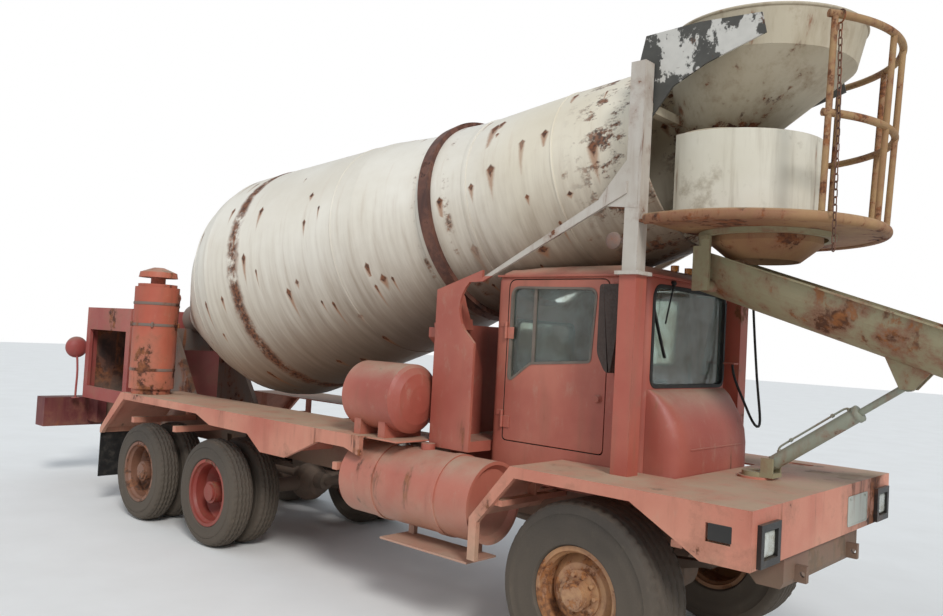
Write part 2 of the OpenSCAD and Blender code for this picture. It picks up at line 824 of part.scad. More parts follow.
// Drum: a hollow shell of revolution about its own sloping axis. The rows hold the place along
// the axis from the ring and the radius: behind the ring both as shares, of the tail's length and
// of the belly's radius, and ahead of it in millimetres, with what is taken from the neck's radius
rear_rows = [[1, 0.167], [0.944, 0.291], [0.882, 0.435], [0.82, 0.571], [0.759, 0.706],
  [0.697, 0.841], [0.636, 0.949], [0.605, 0.985], [0.574, 1], [0.513, 0.975], [0.451, 0.945],
  [0.369, 0.906], [0.267, 0.857], [0.164, 0.809]];
front_rows = [[200, 0], [400, 24], [800, 49], [1200, 77], [1600, 114]];
ring_out = neck_r + 25 + ring_t;
function wall_line(t) = concat(
  [for (p = rear_rows) [p[1] * belly_r - t, -p[0] * tail_len + (p[0] == 1 ? t : 0)]],
  [[neck_r + 20 - t, -130], [neck_r + 24 - t, -60], [neck_r + 24 - t, 60]],
  [for (p = front_rows) [neck_r - p[1] - t, p[0]]],
  [[mouth_r + drum_wall - t, mouth_len]]);
module drum_shell() {
  outer = concat([[0, -tail_len]], wall_line(0));
  inner = concat([[0, -tail_len + drum_wall]], wall_line(drum_wall));
  color(WHITE)
    drum_frame()
      rotate_extrude($fn = 96)
        polygon(concat(outer, [for (i = [len(inner) - 1:-1:0]) inner[i]]));
}

module track_ring() {
  color(RUST)
    drum_frame()
      rotate_extrude($fn = 96)
        translate([neck_r + 24.3, -ring_w / 2])
          square([ring_out - neck_r - 24.3, ring_w]);
}

roller_dist = ring_out + roller_r + 0.5;
module roller(s) {
  color(RUST)
    drum_frame()
      translate([roller_dist * cos(roller_angle), s * roller_dist * sin(roller_angle), 0])
        rotate_extrude()
          polygon([[30 + fit, -70], [roller_r - 20, -70], [roller_r, -55], [roller_r, 55],
            [roller_r - 20, 70], [30 + fit, 70]]);
}

module roller_right() {
  roller(-1);
}

module roller_left() {
  roller(1);
}

// Pedestal behind the cab that carries the two rollers: legs on the rails and a box of plates
ped_x0 = -1660;
ped_x1 = -cab_back - 40;
ped_y = post_y + 20;
ped_z = 1300;
module ring_pedestal() {
  cx = -ring_back + roller_dist * cos(roller_angle) * sin(drum_tilt);
  cz = ring_z - roller_dist * cos(roller_angle) * cos(drum_tilt);
  cy = roller_dist * sin(roller_angle);
  color(RED)
    union() {
      difference() {
        union() {
          block([ped_x0, -ped_y, ped_z + 79], [ped_x0 + 14, ped_y, cz - roller_r - 60]);
          both_sides(ped_y + 12, 24, concat([[ped_x0, ped_z], [ped_x1, ped_z], [ped_x1, 2130]],
            arc(ped_x1 + 90, 2400, 260, 235, 130, 8),
            [[ped_x1 + 50, 2600], [ped_x1 + 50, 2690], [ped_x0, 2540]]));
        }
        drum_frame()
          cylinder(r = ring_out + 25, h = 1200, center = true);
      }
      for (s = [-1, 1])
        mirror([0, s < 0 ? 1 : 0, 0]) {
          drum_frame()
            translate([roller_dist * cos(roller_angle), cy, 0]) {
              for (w = [-110, 80])
                translate([0, 0, w])
                  linear_extrude(30)
                    polygon([[40, -60], [-30, -50], [-60, 0], [-30, 50], [40, 60], [240, 110],
                      [240, -110]]);
              cylinder(r = 30, h = 220, center = true);
              translate([roller_r + 40, -110, -111])
                cube([90, 220, 222]);
            }
          translate([cx - 130, 0, 0])
            rotate([90, 0, 90])
              linear_extrude(240)
                polygon([[rail_half - rail_flange, rail_top], [rail_half, rail_top], [rail_half, 1370],
                  [590, 1500], [590, 2020], [cy + 110, 2160], [cy + 110, cz - 215], [cy - 110, cz - 215],
                  [440, 2100], [rail_half - rail_flange, 1900]]);
          block([cx - 130, rail_half - rail_flange, rail_top], [ped_x1, rail_half, ped_z + 1]);
        }
      block([ped_x0, -ped_y, ped_z], [ped_x1, ped_y, ped_z + 80]);
    }
}

// Gearbox and pedestal that drive the drum at its rear end
module drum_drive() {
  color(RED)
    union() {
      drum_frame()
        translate([0, 0, -tail_len - 200])
          cylinder(r = 200, h = 199.5);
      block([drive_x - 200, -rail_half, drive_z - 420], [drive_x - 40, rail_half, drive_z - 150]);
      for (s = [-1, 1])
        side_plate(s * (rail_half - 30), 60, [[drive_x - 200, drive_z - 170], [drive_x - 200, rail_top],
          [drive_x + 760, rail_top], [drive_x + 40, drive_z - 170]]);
    }
}

// Posts, cross-beams and braces that carry the hoppers over the cab
post_x = 100;
post_top = 4060;
module hopper_posts() {
  color(RED)
    for (s = [-1, 1])
      block([post_x - post_w / 2, s * post_y - post_w / 2, deck_z],
        [post_x + post_w / 2, s * post_y + post_w / 2, 2640]);
  color(WHITE)
    for (s = [-1, 1])
      union() {
        block([post_x - post_w / 2 - 25, s * post_y - post_w / 2 - 25, 2640.3],
          [post_x + post_w / 2 + 25, s * post_y + post_w / 2 + 25, 2665]);
        block([post_x - 55, s * post_y - 55, 2664], [post_x + 55, s * post_y + 55, post_top]);
        side_plate(s * (ped_y + 36.5), 24, [[-1225, 2600], [-1165, 2600], [post_x - 40, 3180],
          [post_x - 40, 3260]]);
        side_plate(s * (ped_y + 29), 16, [[post_x + 40, 3080], [post_x + 40, 3420], [post_x - 60, 3400],
          [post_x - 260, 3160], [post_x - 260, 3110]]);
      }
}

// Charge hopper: a leaning funnel of sheet with an upright band and a rolled rim. It is open to
// the rear, over the drum's mouth. The rows hold height, centre and radius
funnel_rows = [[3700, 300, 330], [4120, 560, 620], [4360, 600, 640]];
funnel_t = 14;
module funnel_part(a, b, t, more) {
  lean = (b[1] - a[1]) / (b[0] - a[0]);
  translate([a[1] - lean * more, 0, a[0] - more])
    multmatrix([[1, 0, lean, 0], [0, 1, 0, 0], [0, 0, 1, 0], [0, 0, 0, 1]])
      cylinder(r1 = a[2] - t, r2 = b[2] - t, h = b[0] - a[0] + 2 * more);
}

module charge_hopper() {
  rim = funnel_rows[2];
  arm_y = post_y - 55;
  color(WHITE)
    difference() {
      union() {
        for (i = [0, 1])
          funnel_part(funnel_rows[i], funnel_rows[i + 1], 0, 0);
        translate([rim[1], 0, rim[0]])
          rotate_extrude()
            translate([rim[2] - 2, 0])
              circle(r = 11, $fn = 16);
        for (s = [-1, 1])
          block([post_x - 25, min(s * 250, s * arm_y), 3740], [post_x + 45, max(s * 250, s * arm_y), 3800]);
      }
      for (i = [0, 1])
        funnel_part(funnel_rows[i], funnel_rows[i + 1], funnel_t, eps);
      block([-200, -330, 3900], [150, 330, 4400]);
    }
}

// Sheets on both sides between the drum's mouth and the funnel, notched round the funnel's arms
module mouth_cover() {
  sheet_y = post_y - 80;
  color(BLACK)
    for (s = [-1, 1])
      mirror([0, s < 0 ? 1 : 0, 0])
        difference() {
          union() {
            side_plate(sheet_y, 14, [[-34, 3836], [56, 3610], [288, 3894], [517, 4005], [904, 4126],
              [873, 4257], [462, 4284], [70, 4270]]);
            block([post_x - 35, sheet_y + 6, 3860], [post_x + 35, post_y - 55, 3920]);
          }
          block([post_x - 30, sheet_y - 20, 3735], [post_x + 50, sheet_y + 20, 3805]);
        }
}

// Discharge tub: a round wall that faces the drum's mouth
module discharge_tub() {
  color(WHITE)
    translate([tray_x - 80, 0, tray_z + 20])
      difference() {
        cylinder(r = tub_r, h = tub_h, $fn = 96);
        translate([0, 0, -eps])
          cylinder(r = tub_r - 10, h = tub_h + 2 * eps, $fn = 96);
        block([-700, -600, -eps], [-190, 600, tub_h + eps]);
      }
}

// Tray under the tub, with a tube rim and the discharge cone below it
cone_h = 185;
module tray() {
  color(RUST)
    union() {
      intersection() {
        translate([tray_x, 0, tray_z])
          difference() {
            union() {
              cylinder(r = tray_r - 25, h = 20, $fn = 96);
              translate([0, 0, 20])
                rotate_extrude($fn = 96)
                  translate([tray_r - 35, 0])
                    circle(r = 35, $fn = 24);
            }
            translate([slew_x - tray_x, 0, -eps])
              cylinder(r = 320, h = 22);
          }
        block([190, -1000, tray_z - 85], [1700, 1000, tray_z + 115]);
      }
      for (s = [-1, 1])
        block([post_x + 55, s * post_y - 50, tray_z], [210, s * post_y + 50, tray_z + 20]);
      translate(hose_start + [0, 0, fit])
        cylinder(r = hose_r + 8, h = tray_z + 1 - fit - hose_start[2]);
      translate([slew_x, 0, tray_z - cone_h])
        rotate_extrude()
          polygon([[230, 0], [370, 115], [370, cone_h + 1], [330, cone_h + 1], [330, 125], [218, 0]]);
    }
}

// Railing round the front and the left of the tray: leaning posts and two hoops, open on the
// right where the way up is
rail_angles = [-37, -4, 14, 44, 72];
foot_r = tray_r - 40;
hoop_rows = [[585, foot_r + 30], [1170, foot_r + 60]];
module railing() {
  last = hoop_rows[1];
  past = 2.5;
  color(RUST)
    translate([tray_x, 0, tray_z + 55.3])
      union() {
        for (a = rail_angles)
          rotate([0, 0, a])
            bar([foot_r, 0, 0], [last[1], 0, last[0] + 3], 20);
        for (h = hoop_rows)
          translate([0, 0, h[0]])
            rotate([0, 0, rail_angles[0] - past])
              rotate_extrude(angle = rail_angles[4] - rail_angles[0] + 2 * past, $fn = 96)
                translate([h[1], 0])
                  circle(r = 24, $fn = 16);
      }
}

// The hose as a tube along its points
function unit(v) = v / norm(v);
function hose_ring(i) =
  let (p = hose_path, last = len(p) - 1)
  let (along = unit(p[min(i + 1, last)] - p[max(i - 1, 0)]))
  let (side = unit(cross(along, [0.9, 0.1, 0.42])))
  let (up = cross(along, side))
  [for (a = [0:45:315]) p[i] + hose_r * (cos(a) * side + sin(a) * up)];
module hose_loop() {
  count = len(hose_path);
  color(BLACK)
    polyhedron(
      points = [for (i = [0:count - 1]) each hose_ring(i)],
      faces = concat([[for (k = [0:7]) k]],
        [for (i = [0:count - 2]) for (k = [0:7])
          [i * 8 + k, (i + 1) * 8 + k, (i + 1) * 8 + (k + 1) % 8, i * 8 + (k + 1) % 8]],
        [[for (k = [7:-1:0]) (count - 1) * 8 + k]]));
}

// Steering knuckles: a hub carrier on a kingpin
module knuckle(s) {
  color(STEEL)
    mirror([0, s < 0 ? 1 : 0, 0])
      union() {
        translate([0, kingpin_y, front_r - 110])
          cylinder(r = 20, h = 220);
        block([-55, kingpin_y - 28, front_r - 74.5], [55, kingpin_y + 45, front_r + 74.5]);
        cyl_y(0, front_r, kingpin_y + 40, front_face - 30, 45);
        cyl_y(0, front_r, kingpin_y + 44, kingpin_y + 64, 68);
      }
}

module knuckle_right() {
  knuckle(-1);
}

module knuckle_left() {
  knuckle(1);
}

// A tyre about the y axis, from its radius and width and those of the rim that it seats on
module tyre(r, w, rim_r, rim_w) {
  h = w / 2;
  b = rim_w / 2;
  side = [[rim_r - 37.7, b - 46.3], [rim_r - 21.7, b - 30.3], [rim_r - 17.7, b - 16.3],
    [rim_r + 0.5, b - 12.3], [rim_r + 8, h - 10], [(r + rim_r) / 2, h], [r - 75, h - 12],
    [r - 26, h - 26], [r - 8, h - 48], [r, h - 90]];
  rotate([90, 0, 0])
    rotate_extrude($fn = 72)
      polygon(concat([for (p = side) [p[0], -p[1]]], [for (i = [len(side) - 1:-1:0]) side[i]]));
}

// A rim about the y axis: a flanged barrel and a dished disc. The disc's bolt face is at d,
// and it meets the barrel at d + k
module rim(r, w, d, k, hub_r) {
  h = w / 2;
  rotate([-90, 0, 0])
    union() {
      rotate_extrude($fn = 72)
        polygon([[r, -h], [r, -h + 12], [r - 18, -h + 16], [r - 22, -h + 30], [r - 38, -h + 46],
          [r - 38, h - 46], [r - 22, h - 30], [r - 18, h - 16], [r, h - 12], [r, h], [r - 30, h],
          [r - 34, h - 24], [r - 50, h - 48], [r - 50, -h + 48], [r - 34, -h + 24], [r - 30, -h]]);
      rotate_extrude($fn = 72)
        polygon([[hub_r, d], [r - 110, d], [r - 49, d + k], [r - 49, d + k + 14], [r - 114, d + 14],
          [hub_r, d + 14]]);
    }
}

front_rim_w = front_w - 60;
rear_rim_w = rear_w - 36;
module front_tyre(s) {
  color(BLACK)
    translate([0, s * front_y, front_r])
      tyre(front_r, front_w, front_rim_r, front_rim_w);
}

module front_rim(s) {
  color(RUST)
    mirror([0, s < 0 ? 1 : 0, 0])
      difference() {
        union() {
          translate([0, front_y, front_r])
            rim(front_rim_r, front_rim_w, 110, -60, 80);
          cyl_y(0, front_r, kingpin_y + 100, front_face - 20, 95);
          cyl_y(0, front_r, front_y + 100, front_y + 140, 150);
          cyl_y(0, front_r, front_face - 20, front_face, 80);
          for (i = [0:9])
            cyl_y(125 * cos(i * 36), front_r + 125 * sin(i * 36), front_y + 139, front_y + 165, 14);
        }
        cyl_y(0, front_r, kingpin_y + 90, front_face - 25, 45 + fit);
      }
}

module front_tyre_right() {
  front_tyre(-1);
}

module front_tyre_left() {
  front_tyre(1);
}

module front_rim_right() {
  front_rim(-1);
}

module front_rim_left() {
  front_rim(1);
}

// Twin tyres of one rear wheel body: two separate rings
module twin_tyres(x, s) {
  color(BLACK)
    for (y = [rear_y_out, rear_y_in])
      translate([x, s * y, rear_r])
        tyre(rear_r, rear_w, rear_rim_r, rear_rim_w);
}

module twin_rims(x, s) {
  color(RED)
    translate([x, 0, 0])
      mirror([0, s < 0 ? 1 : 0, 0])
        difference() {
          union() {
            translate([0, rear_y_out, rear_r])
              rim(rear_rim_r, rear_rim_w, dual_mid - rear_y_out, 90, 90);
            translate([0, rear_y_in, rear_r])
              rim(rear_rim_r, rear_rim_w, dual_mid - rear_y_in - 14, -90, 90);
            cyl_y(0, rear_r, dual_mid - 100, rear_face - 60, 105);
            cyl_y(0, rear_r, dual_mid + 10, dual_mid + 26, 165);
            cyl_y(0, rear_r, rear_face - 60, rear_face - 40, 80);
            for (i = [0:9])
              cyl_y(140 * cos(i * 36), rear_r + 140 * sin(i * 36), dual_mid + 20, dual_mid + 50, 14);
          }
          cyl_y(0, rear_r, dual_mid - 110, rear_face - 65, 50 + fit);
        }
}

module tyres_mid_right() {
  twin_tyres(mid_axle_x, -1);
}

module tyres_mid_left() {
  twin_tyres(mid_axle_x, 1);
}

module tyres_back_right() {
  twin_tyres(back_axle_x, -1);
}

module tyres_back_left() {
  twin_tyres(back_axle_x, 1);
}

module rims_mid_right() {
  twin_rims(mid_axle_x, -1);
}

module rims_mid_left() {
  twin_rims(mid_axle_x, 1);
}

module rims_back_right() {
  twin_rims(back_axle_x, -1);
}

module rims_back_left() {
  twin_rims(back_axle_x, 1);
}

// Swing frame: a ring under the tray with two arms, and the swivel on the deck with its lugs. The
// arms' tops are trimmed round, to pass under and ahead of the lowest point of the drum's mouth
lug_y = 66;
mouth_low_x = -ring_back + mouth_len * cos(drum_tilt) + mouth_r * sin(drum_tilt);
swing_r = slew_x - mouth_low_x - 18;
arm_top = tray_z - 105;
module swing_frame() {
  color(STEEL) {
    union() {
      translate([slew_x, 0, tray_z - 35.5])
        difference() {
          cylinder(r = 450, h = 35);
          translate([0, 0, -eps])
            cylinder(r = 400, h = 40);
        }
      for (s = [-1, 1]) {
        block([hinge_x - 60, s * 358 - 12, hinge_z - 45],
          [hinge_x + 60, s * 358 + 12, arm_top]);
        cyl_y(hinge_x, hinge_z, s * 340 - 32, s * 340 + 32, pin_r);
      }
      intersection() {
        translate([slew_x, 0, arm_top - eps])
          cylinder(r = swing_r, h = tray_z - arm_top);
        for (s = [-1, 1]) {
          block([hinge_x - 60, s * 358 - 12, arm_top - eps],
            [hinge_x + 60, s * 358 + 12, tray_z - 34]);
          block([hinge_x - 60, s * 390 - 44, tray_z - 60],
            [hinge_x + 60, s * 390 + 44, tray_z - 35.5]);
        }
      }
    }
    difference() {
      union() {
        translate([slew_x, 0, deck_z + 15.5])
          cylinder(r = 95, h = 30);
        block([slew_x, -lug_y - 12, deck_z + 15.5], [base_x + 45, lug_y + 12, deck_z + 45]);
        for (y = [-lug_y, lug_y])
          block([base_x - 40, y - 12, deck_z + 40], [base_x + 40, y + 12, base_z + 45]);
        cyl_y(base_x, base_z, -lug_y - 12, lug_y + 12, pin_r);
      }
      translate([slew_x, 0, deck_z])
        cylinder(r = 25 + fit, h = 80);
    }
  }
}

// A trough from u0 to u1 along the slope, measured from the rim line
module trough(u0, u1) {
  ro = chute_r + chute_t;
  translate([hinge_x, 0, hinge_z + rim_at_hinge])
    rotate([0, chute_slope, 0])
      translate([u0, 0, 0])
        rotate([90, 0, 90])
          linear_extrude(u1 - u0)
            polygon(concat(arc(0, 0, ro, 180, 360, 24), [[ro + 30, 0], [ro + 30, 12], [chute_r, 12]],
              arc(0, 0, chute_r, 0, -180, 24), [[-chute_r, 12], [-ro - 30, 12], [-ro - 30, 0]]));
}

main_u0 = -80 / cos(chute_slope);
main_u1 = (main_x1 - hinge_x) / cos(chute_slope);
module chute_main() {
  ro = chute_r + chute_t;
  color(RUST)
    difference() {
      union() {
        trough(main_u0, main_u1);
        for (s = [-1, 1])
          cyl_y(hinge_x, hinge_z, s * 245 - 85, s * 245 + 85, 42);
        for (y = [-45, 45])
          side_plate(y, 20, [[eye_x - 130, rim_z(eye_x - 130) - ro - 6], [eye_x - 40, eye_z - 30],
            [eye_x + 40, eye_z - 30], [eye_x + 130, rim_z(eye_x + 130) - ro - 6]]);
        cyl_y(eye_x, eye_z, -50, 50, pin_r);
        translate([hinge_x, 0, hinge_z + rim_at_hinge])
          rotate([0, chute_slope, 0])
            for (s = [-1, 1]) {
              translate([main_u1 - 60, s * (ro + 18) - 10, 0])
                cube([60, 20, 70]);
              translate([main_u1 - 1, s * (ro + 18) - 10, 20])
                cube([31, 20, 50]);
            }
      }
      translate([hinge_x, 0, hinge_z + rim_at_hinge])
        rotate([0, chute_slope, 0])
          translate([main_u0 - 50, 0, 0])
            rotate([0, 90, 0])
              cylinder(r = chute_r - 4, h = 400);
      for (s = [-1, 1])
        cyl_y(hinge_x, hinge_z, s * 340 - 40, s * 340 + 40, pin_r + fit);
      translate([hinge_x, 0, hinge_z + rim_at_hinge])
        rotate([0, chute_slope, 0])
          cyl_y(main_u1, 45, -400, 400, pin_r + fit);
    }
}

module chute_extension() {
  ro = chute_r + chute_t;
  color(RUST)
    union() {
      trough(main_u1 + 25, main_u1 + ext_len);
      translate([hinge_x, 0, hinge_z + rim_at_hinge])
        rotate([0, chute_slope, 0])
          for (s = [-1, 1]) {
            translate([main_u1 - 25, s * (ro + 44) - 10, 0])
              cube([160, 20, 70]);
            translate([main_u1 + 60, s * (ro + 34) - 20, 0])
              cube([75, 40, 12]);
            cyl_y(main_u1, 45, s * (ro + 26) - 20, s * (ro + 26) + 20, pin_r);
          }
    }
}

cyl_angle = atan2(eye_z - base_z, eye_x - base_x);
cyl_len = norm([eye_x - base_x, eye_z - base_z]);
barrel_len = 690;
module lift_frame() {
  translate([base_x, 0, base_z])
    rotate([0, -cyl_angle, 0])
      children();
}

module lift_barrel() {
  color(STEEL)
    lift_frame()
      difference() {
        union() {
          translate([30, 0, 0])
            rotate([0, 90, 0])
              cylinder(r = 48, h = barrel_len - 30);
          rotate([90, 0, 0])
            cylinder(r = 38, h = 96, center = true);
        }
        rotate([90, 0, 0])
          cylinder(r = pin_r + fit, h = 120, center = true);
        translate([90, 0, 0])
          rotate([0, 90, 0])
            cylinder(r = 38, h = barrel_len - 120);
        rotate([0, 90, 0])
          translate([0, 0, 80])
            cylinder(r = 22 + fit, h = barrel_len);
      }
}

module lift_rod() {
  color(STEEL)
    lift_frame()
      difference() {
        union() {
          translate([370, 0, 0])
            rotate([0, 90, 0])
              cylinder(r = 22, h = cyl_len - 370 - 30);
          translate([370, 0, 0])
            rotate([0, 90, 0])
              cylinder(r = 38 - fit, h = 40);
          translate([cyl_len, 0, 0])
            rotate([90, 0, 0])
              cylinder(r = 42, h = 50, center = true);
        }
        translate([cyl_len, 0, 0])
          rotate([90, 0, 0])
            cylinder(r = pin_r + 13, h = 80, center = true);
      }
}

placed() {
  frame_rails();
  nose_beam();
  front_axle();
  front_springs();
  rear_axles();
  walking_beams();
  driveline();
  engine_block();
  radiator();
  engine_hood();
  rear_bumper();
  rear_deck();
  mud_flaps();
  air_cleaner();
  front_deck();
  headlamps();
  cab_shell();
  cab_glass();
  marker_lamps();
  seat();
  steering_wheel();
  door_right();
  door_left();
  door_glass_right();
  door_glass_left();
  fuel_tank();
  tank_step();
  water_tank();
  ring_pedestal();
  drum_drive();
  roller_right();
  roller_left();
  drum_shell();
  track_ring();
  hopper_posts();
  charge_hopper();
  mouth_cover();
  discharge_tub();
  tray();
  railing();
  hose_loop();
  knuckle_right();
  knuckle_left();
  front_tyre_right();
  front_tyre_left();
  front_rim_right();
  front_rim_left();
  tyres_mid_right();
  tyres_mid_left();
  tyres_back_right();
  tyres_back_left();
  rims_mid_right();
  rims_mid_left();
  rims_back_right();
  rims_back_left();
  swing_frame();
  chute_main();
  chute_extension();
  lift_barrel();
  lift_rod();
}
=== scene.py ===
import bmesh
import bpy
import numpy as np
from mathutils import Matrix, Vector


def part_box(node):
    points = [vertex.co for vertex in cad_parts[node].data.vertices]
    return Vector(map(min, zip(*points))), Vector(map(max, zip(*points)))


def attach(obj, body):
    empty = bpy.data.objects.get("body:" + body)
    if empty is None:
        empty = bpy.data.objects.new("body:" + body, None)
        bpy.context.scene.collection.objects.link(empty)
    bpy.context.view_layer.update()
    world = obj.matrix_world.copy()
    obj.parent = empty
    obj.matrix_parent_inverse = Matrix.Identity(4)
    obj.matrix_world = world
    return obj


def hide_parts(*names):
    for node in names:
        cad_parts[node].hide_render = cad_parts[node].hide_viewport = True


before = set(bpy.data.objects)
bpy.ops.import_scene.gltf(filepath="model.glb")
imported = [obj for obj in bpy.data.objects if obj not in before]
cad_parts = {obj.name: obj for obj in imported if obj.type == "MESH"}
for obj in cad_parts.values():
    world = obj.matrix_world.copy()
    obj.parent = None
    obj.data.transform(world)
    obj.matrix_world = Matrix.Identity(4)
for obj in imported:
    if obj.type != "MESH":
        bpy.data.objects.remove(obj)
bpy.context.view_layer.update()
scene = bpy.context.scene

# The view: a grown person stands off the truck's right front corner and looks back
# along it, with the camera held a little askew and a plain 32 mm lens.
eye = Vector((6.0545, -5.5587, 2.1706))
yaw, pitch, roll = 2.308035, 0.035776, 0.054739
photo_width = 943
lens_in_pixels = 830.89

forward = Vector((np.cos(pitch) * np.cos(yaw), np.cos(pitch) * np.sin(yaw), np.sin(pitch)))
level_right = forward.cross(Vector((0, 0, 1))).normalized()
level_up = level_right.cross(forward)
right = np.cos(roll) * level_right + np.sin(roll) * level_up
up = np.cos(roll) * level_up - np.sin(roll) * level_right
camera_data = bpy.data.cameras.new("view")
camera_data.sensor_width = 36
camera_data.lens = 36 * lens_in_pixels / photo_width
camera_data.clip_end = 200
camera = bpy.data.objects.new("view", camera_data)
camera.matrix_world = Matrix.Translation(eye) @ Matrix((right, up, -forward)).transposed().to_4x4()
scene.collection.objects.link(camera)
scene.camera = camera
scene.view_settings.view_transform = "Standard"


# The hose: one hydraulic line hangs free from the tray's left end and loops up to the cab's
# front pillar. Its points are those of the CAD piece, measured from the front axle.
def middle(name):
    """The middle of a CAD piece's box."""
    low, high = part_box(name)
    return (low + high) / 2


def smooth(points, steps=4):
    """A Catmull-Rom curve through all the points, with each span cut into steps."""
    p = np.asarray(points, float)
    p = np.vstack([2 * p[0] - p[1], p, 2 * p[-1] - p[-2]])
    t = np.linspace(0, 1, steps, endpoint=False)[:, None, None]
    a, b, c, d = p[:-3], p[1:-2], p[2:-1], p[3:]
    q = 0.5 * (2 * b + (c - a) * t + (2 * a - 5 * b + 4 * c - d) * t ** 2
               + (3 * b - a - 3 * c + d) * t ** 3)
    return np.vstack([q.transpose(1, 0, 2).reshape(-1, 3), p[-2]])


def skin(grid, ring=True, loop=False):
    """Points and faces over a grid: columns close into rings where ring is set, and the last
    row meets the first where loop is set. Open ends of rings are capped."""
    rows, columns = grid.shape[:2]
    i, j = np.meshgrid(np.arange(rows if loop else rows - 1), np.arange(columns if ring else columns - 1),
                       indexing="ij")
    k, l = (i + 1) % rows, (j + 1) % columns
    faces = np.stack([i * columns + j, i * columns + l, k * columns + l, k * columns + j],
                     -1).reshape(-1, 4).tolist()
    if ring and not loop:
        faces += [list(range(columns)), list(range((rows - 1) * columns, rows * columns))]
    return grid.reshape(-1, 3), faces


def tube(path, outline, reference=(0.3, 0.2, 0.93), loop=False):
    """An outline in its own plane, swept along a path: each ring stands square to the path,
    and the outline's first axis is the path's direction crossed with the reference."""
    path = np.asarray(path, float)
    ahead = np.roll(path, -1, 0) - np.roll(path, 1, 0)
    if not loop:
        ahead[0], ahead[-1] = path[1] - path[0], path[-1] - path[-2]
    ahead /= np.linalg.norm(ahead, axis=1)[:, None]
    side = np.cross(ahead, np.asarray(reference, float))
    side /= np.linalg.norm(side, axis=1)[:, None]
    over = np.cross(side, ahead)
    shape = np.asarray(outline, float)
    return skin(path[:, None] + shape[None, :, :1] * side[:, None] + shape[None, :, 1:] * over[:, None],
                True, loop)


def circle(radius, count=12):
    """Points round a circle, as a tube's outline."""
    a = np.arange(count) * 2 * np.pi / count
    return np.stack([radius * np.cos(a), radius * np.sin(a)], -1)


def loose(name, forms):
    """A mesh object from forms, joined and turned out, that is not yet part of the truck."""
    starts = np.cumsum([0] + [len(f[0]) for f in forms])
    faces = [[v + int(start) for v in face] for form, start in zip(forms, starts) for face in form[1]]
    mesh = bpy.data.meshes.new(name)
    mesh.from_pydata(np.vstack([f[0] for f in forms]).tolist(), [], faces)
    shell = bmesh.new()
    shell.from_mesh(mesh)
    bmesh.ops.remove_doubles(shell, verts=shell.verts, dist=1e-6)
    bmesh.ops.recalc_face_normals(shell, faces=shell.faces)
    shell.to_mesh(mesh)
    shell.free()
    made = bpy.data.objects.new(name, mesh)
    scene.collection.objects.link(made)
    return made


def shaded(made, sharp=35):
    """Smooth shading, with edges kept where faces meet at more than sharp degrees."""
    made.data.shade_smooth()
    made.data.set_sharp_from_angle(angle=np.radians(sharp))


def piece(name, forms, body, replaces=(), sharp=35, finish=None, edges=0):
    """One finished object from several forms, riding on a body, with its own finish."""
    made = loose(name, forms)
    shaded(made, sharp)
    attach(made, body)
    if replaces:
        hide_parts(*replaces)
    if edges:
        soften(made, edges)
    if finish:
        made.data.materials.append(finish)
    return made


axle_x = middle("front_tyre_right").x
hose_route = np.array([(245, 720, 2950), (245, 720, 2900), (246, 724, 2830), (248, 731, 2740),
                       (251, 740, 2640), (255, 750, 2530), (260, 760, 2420), (266, 769, 2310),
                       (273, 777, 2200), (281, 783, 2095), (290, 786, 1995), (301, 786, 1905),
                       (313, 782, 1825), (326, 773, 1756), (339, 758, 1700), (351, 737, 1656),
                       (360, 711, 1627), (365, 682, 1613), (365, 652, 1613), (360, 623, 1627),
                       (350, 598, 1656), (335, 578, 1698), (316, 565, 1748), (294, 558, 1800),
                       (270, 554, 1852), (246, 552, 1902), (225, 551, 1950), (209, 550, 1996),
                       (199, 550, 2036), (196, 550, 2055), (196, 550, 2075)]) / 1000 + (axle_x, 0, 0)
hose_width = 0.020
hose = piece("hose_loop_rubber", [tube(hose_route, circle(hose_width / 2), (0.9, 0.1, 0.42))], "chassis",
             ["hose_loop"])


# The light: an open sky from all round, and one wide soft sun from ahead of the truck
# and a little to its right. The floor is a pale painted slab.
def sun(name, towards, strength, spread):
    """A sun whose light comes from the direction towards, as wide as spread in degrees."""
    data = bpy.data.lights.new(name, "SUN")
    data.energy = strength
    data.angle = np.radians(spread)
    lamp = bpy.data.objects.new(name, data)
    lamp.rotation_mode = "QUATERNION"
    lamp.rotation_quaternion = Vector(towards).to_track_quat("Z", "Y")
    scene.collection.objects.link(lamp)


sun("key", (0.72, -0.42, 0.62), 1.75, 14)
sun("fill", (-0.5, -0.8, 0.45), 0.35, 60)


def rgb(code):
    """A colour from its six hex digits, turned into linear light."""
    c = np.array([int(code[i:i + 2], 16) for i in (0, 2, 4)]) / 255
    return tuple(np.where(c < 0.04045, c / 12.92, ((c + 0.055) / 1.055) ** 2.4)) + (1.0,)


def feed(made, **sockets):
    """Sets each named socket of a shader node, or joins it to another node's output. A socket
    goes by its own name or, as i0, by its place."""
    for key, value in sockets.items():
        place = made.inputs[int(key[1:])] if key[1:].isdigit() else made.inputs[key.replace("_", " ")]
        if isinstance(value, bpy.types.NodeSocket):
            made.id_data.links.new(value, place)
        else:
            place.default_value = value


def add(tree, kind, settings=None, **sockets):
    """One shader node with its settings and its sockets."""
    made = tree.nodes.new("ShaderNode" + kind)
    for key, value in (settings or {}).items():
        setattr(made, key, value)
    feed(made, **sockets)
    return made


def home(*values):
    """The node tree that the first socket among some values belongs to."""
    return next(value.id_data for value in values if isinstance(value, bpy.types.NodeSocket))


def calc(operation, a, b=0.0):
    """One sum, product or other rule of arithmetic on two values."""
    return add(home(a, b), "Math", {"operation": operation}, i0=a, i1=b).outputs[0]


def most(a, b):
    """The greater of two values."""
    return calc("MAXIMUM", a, b)


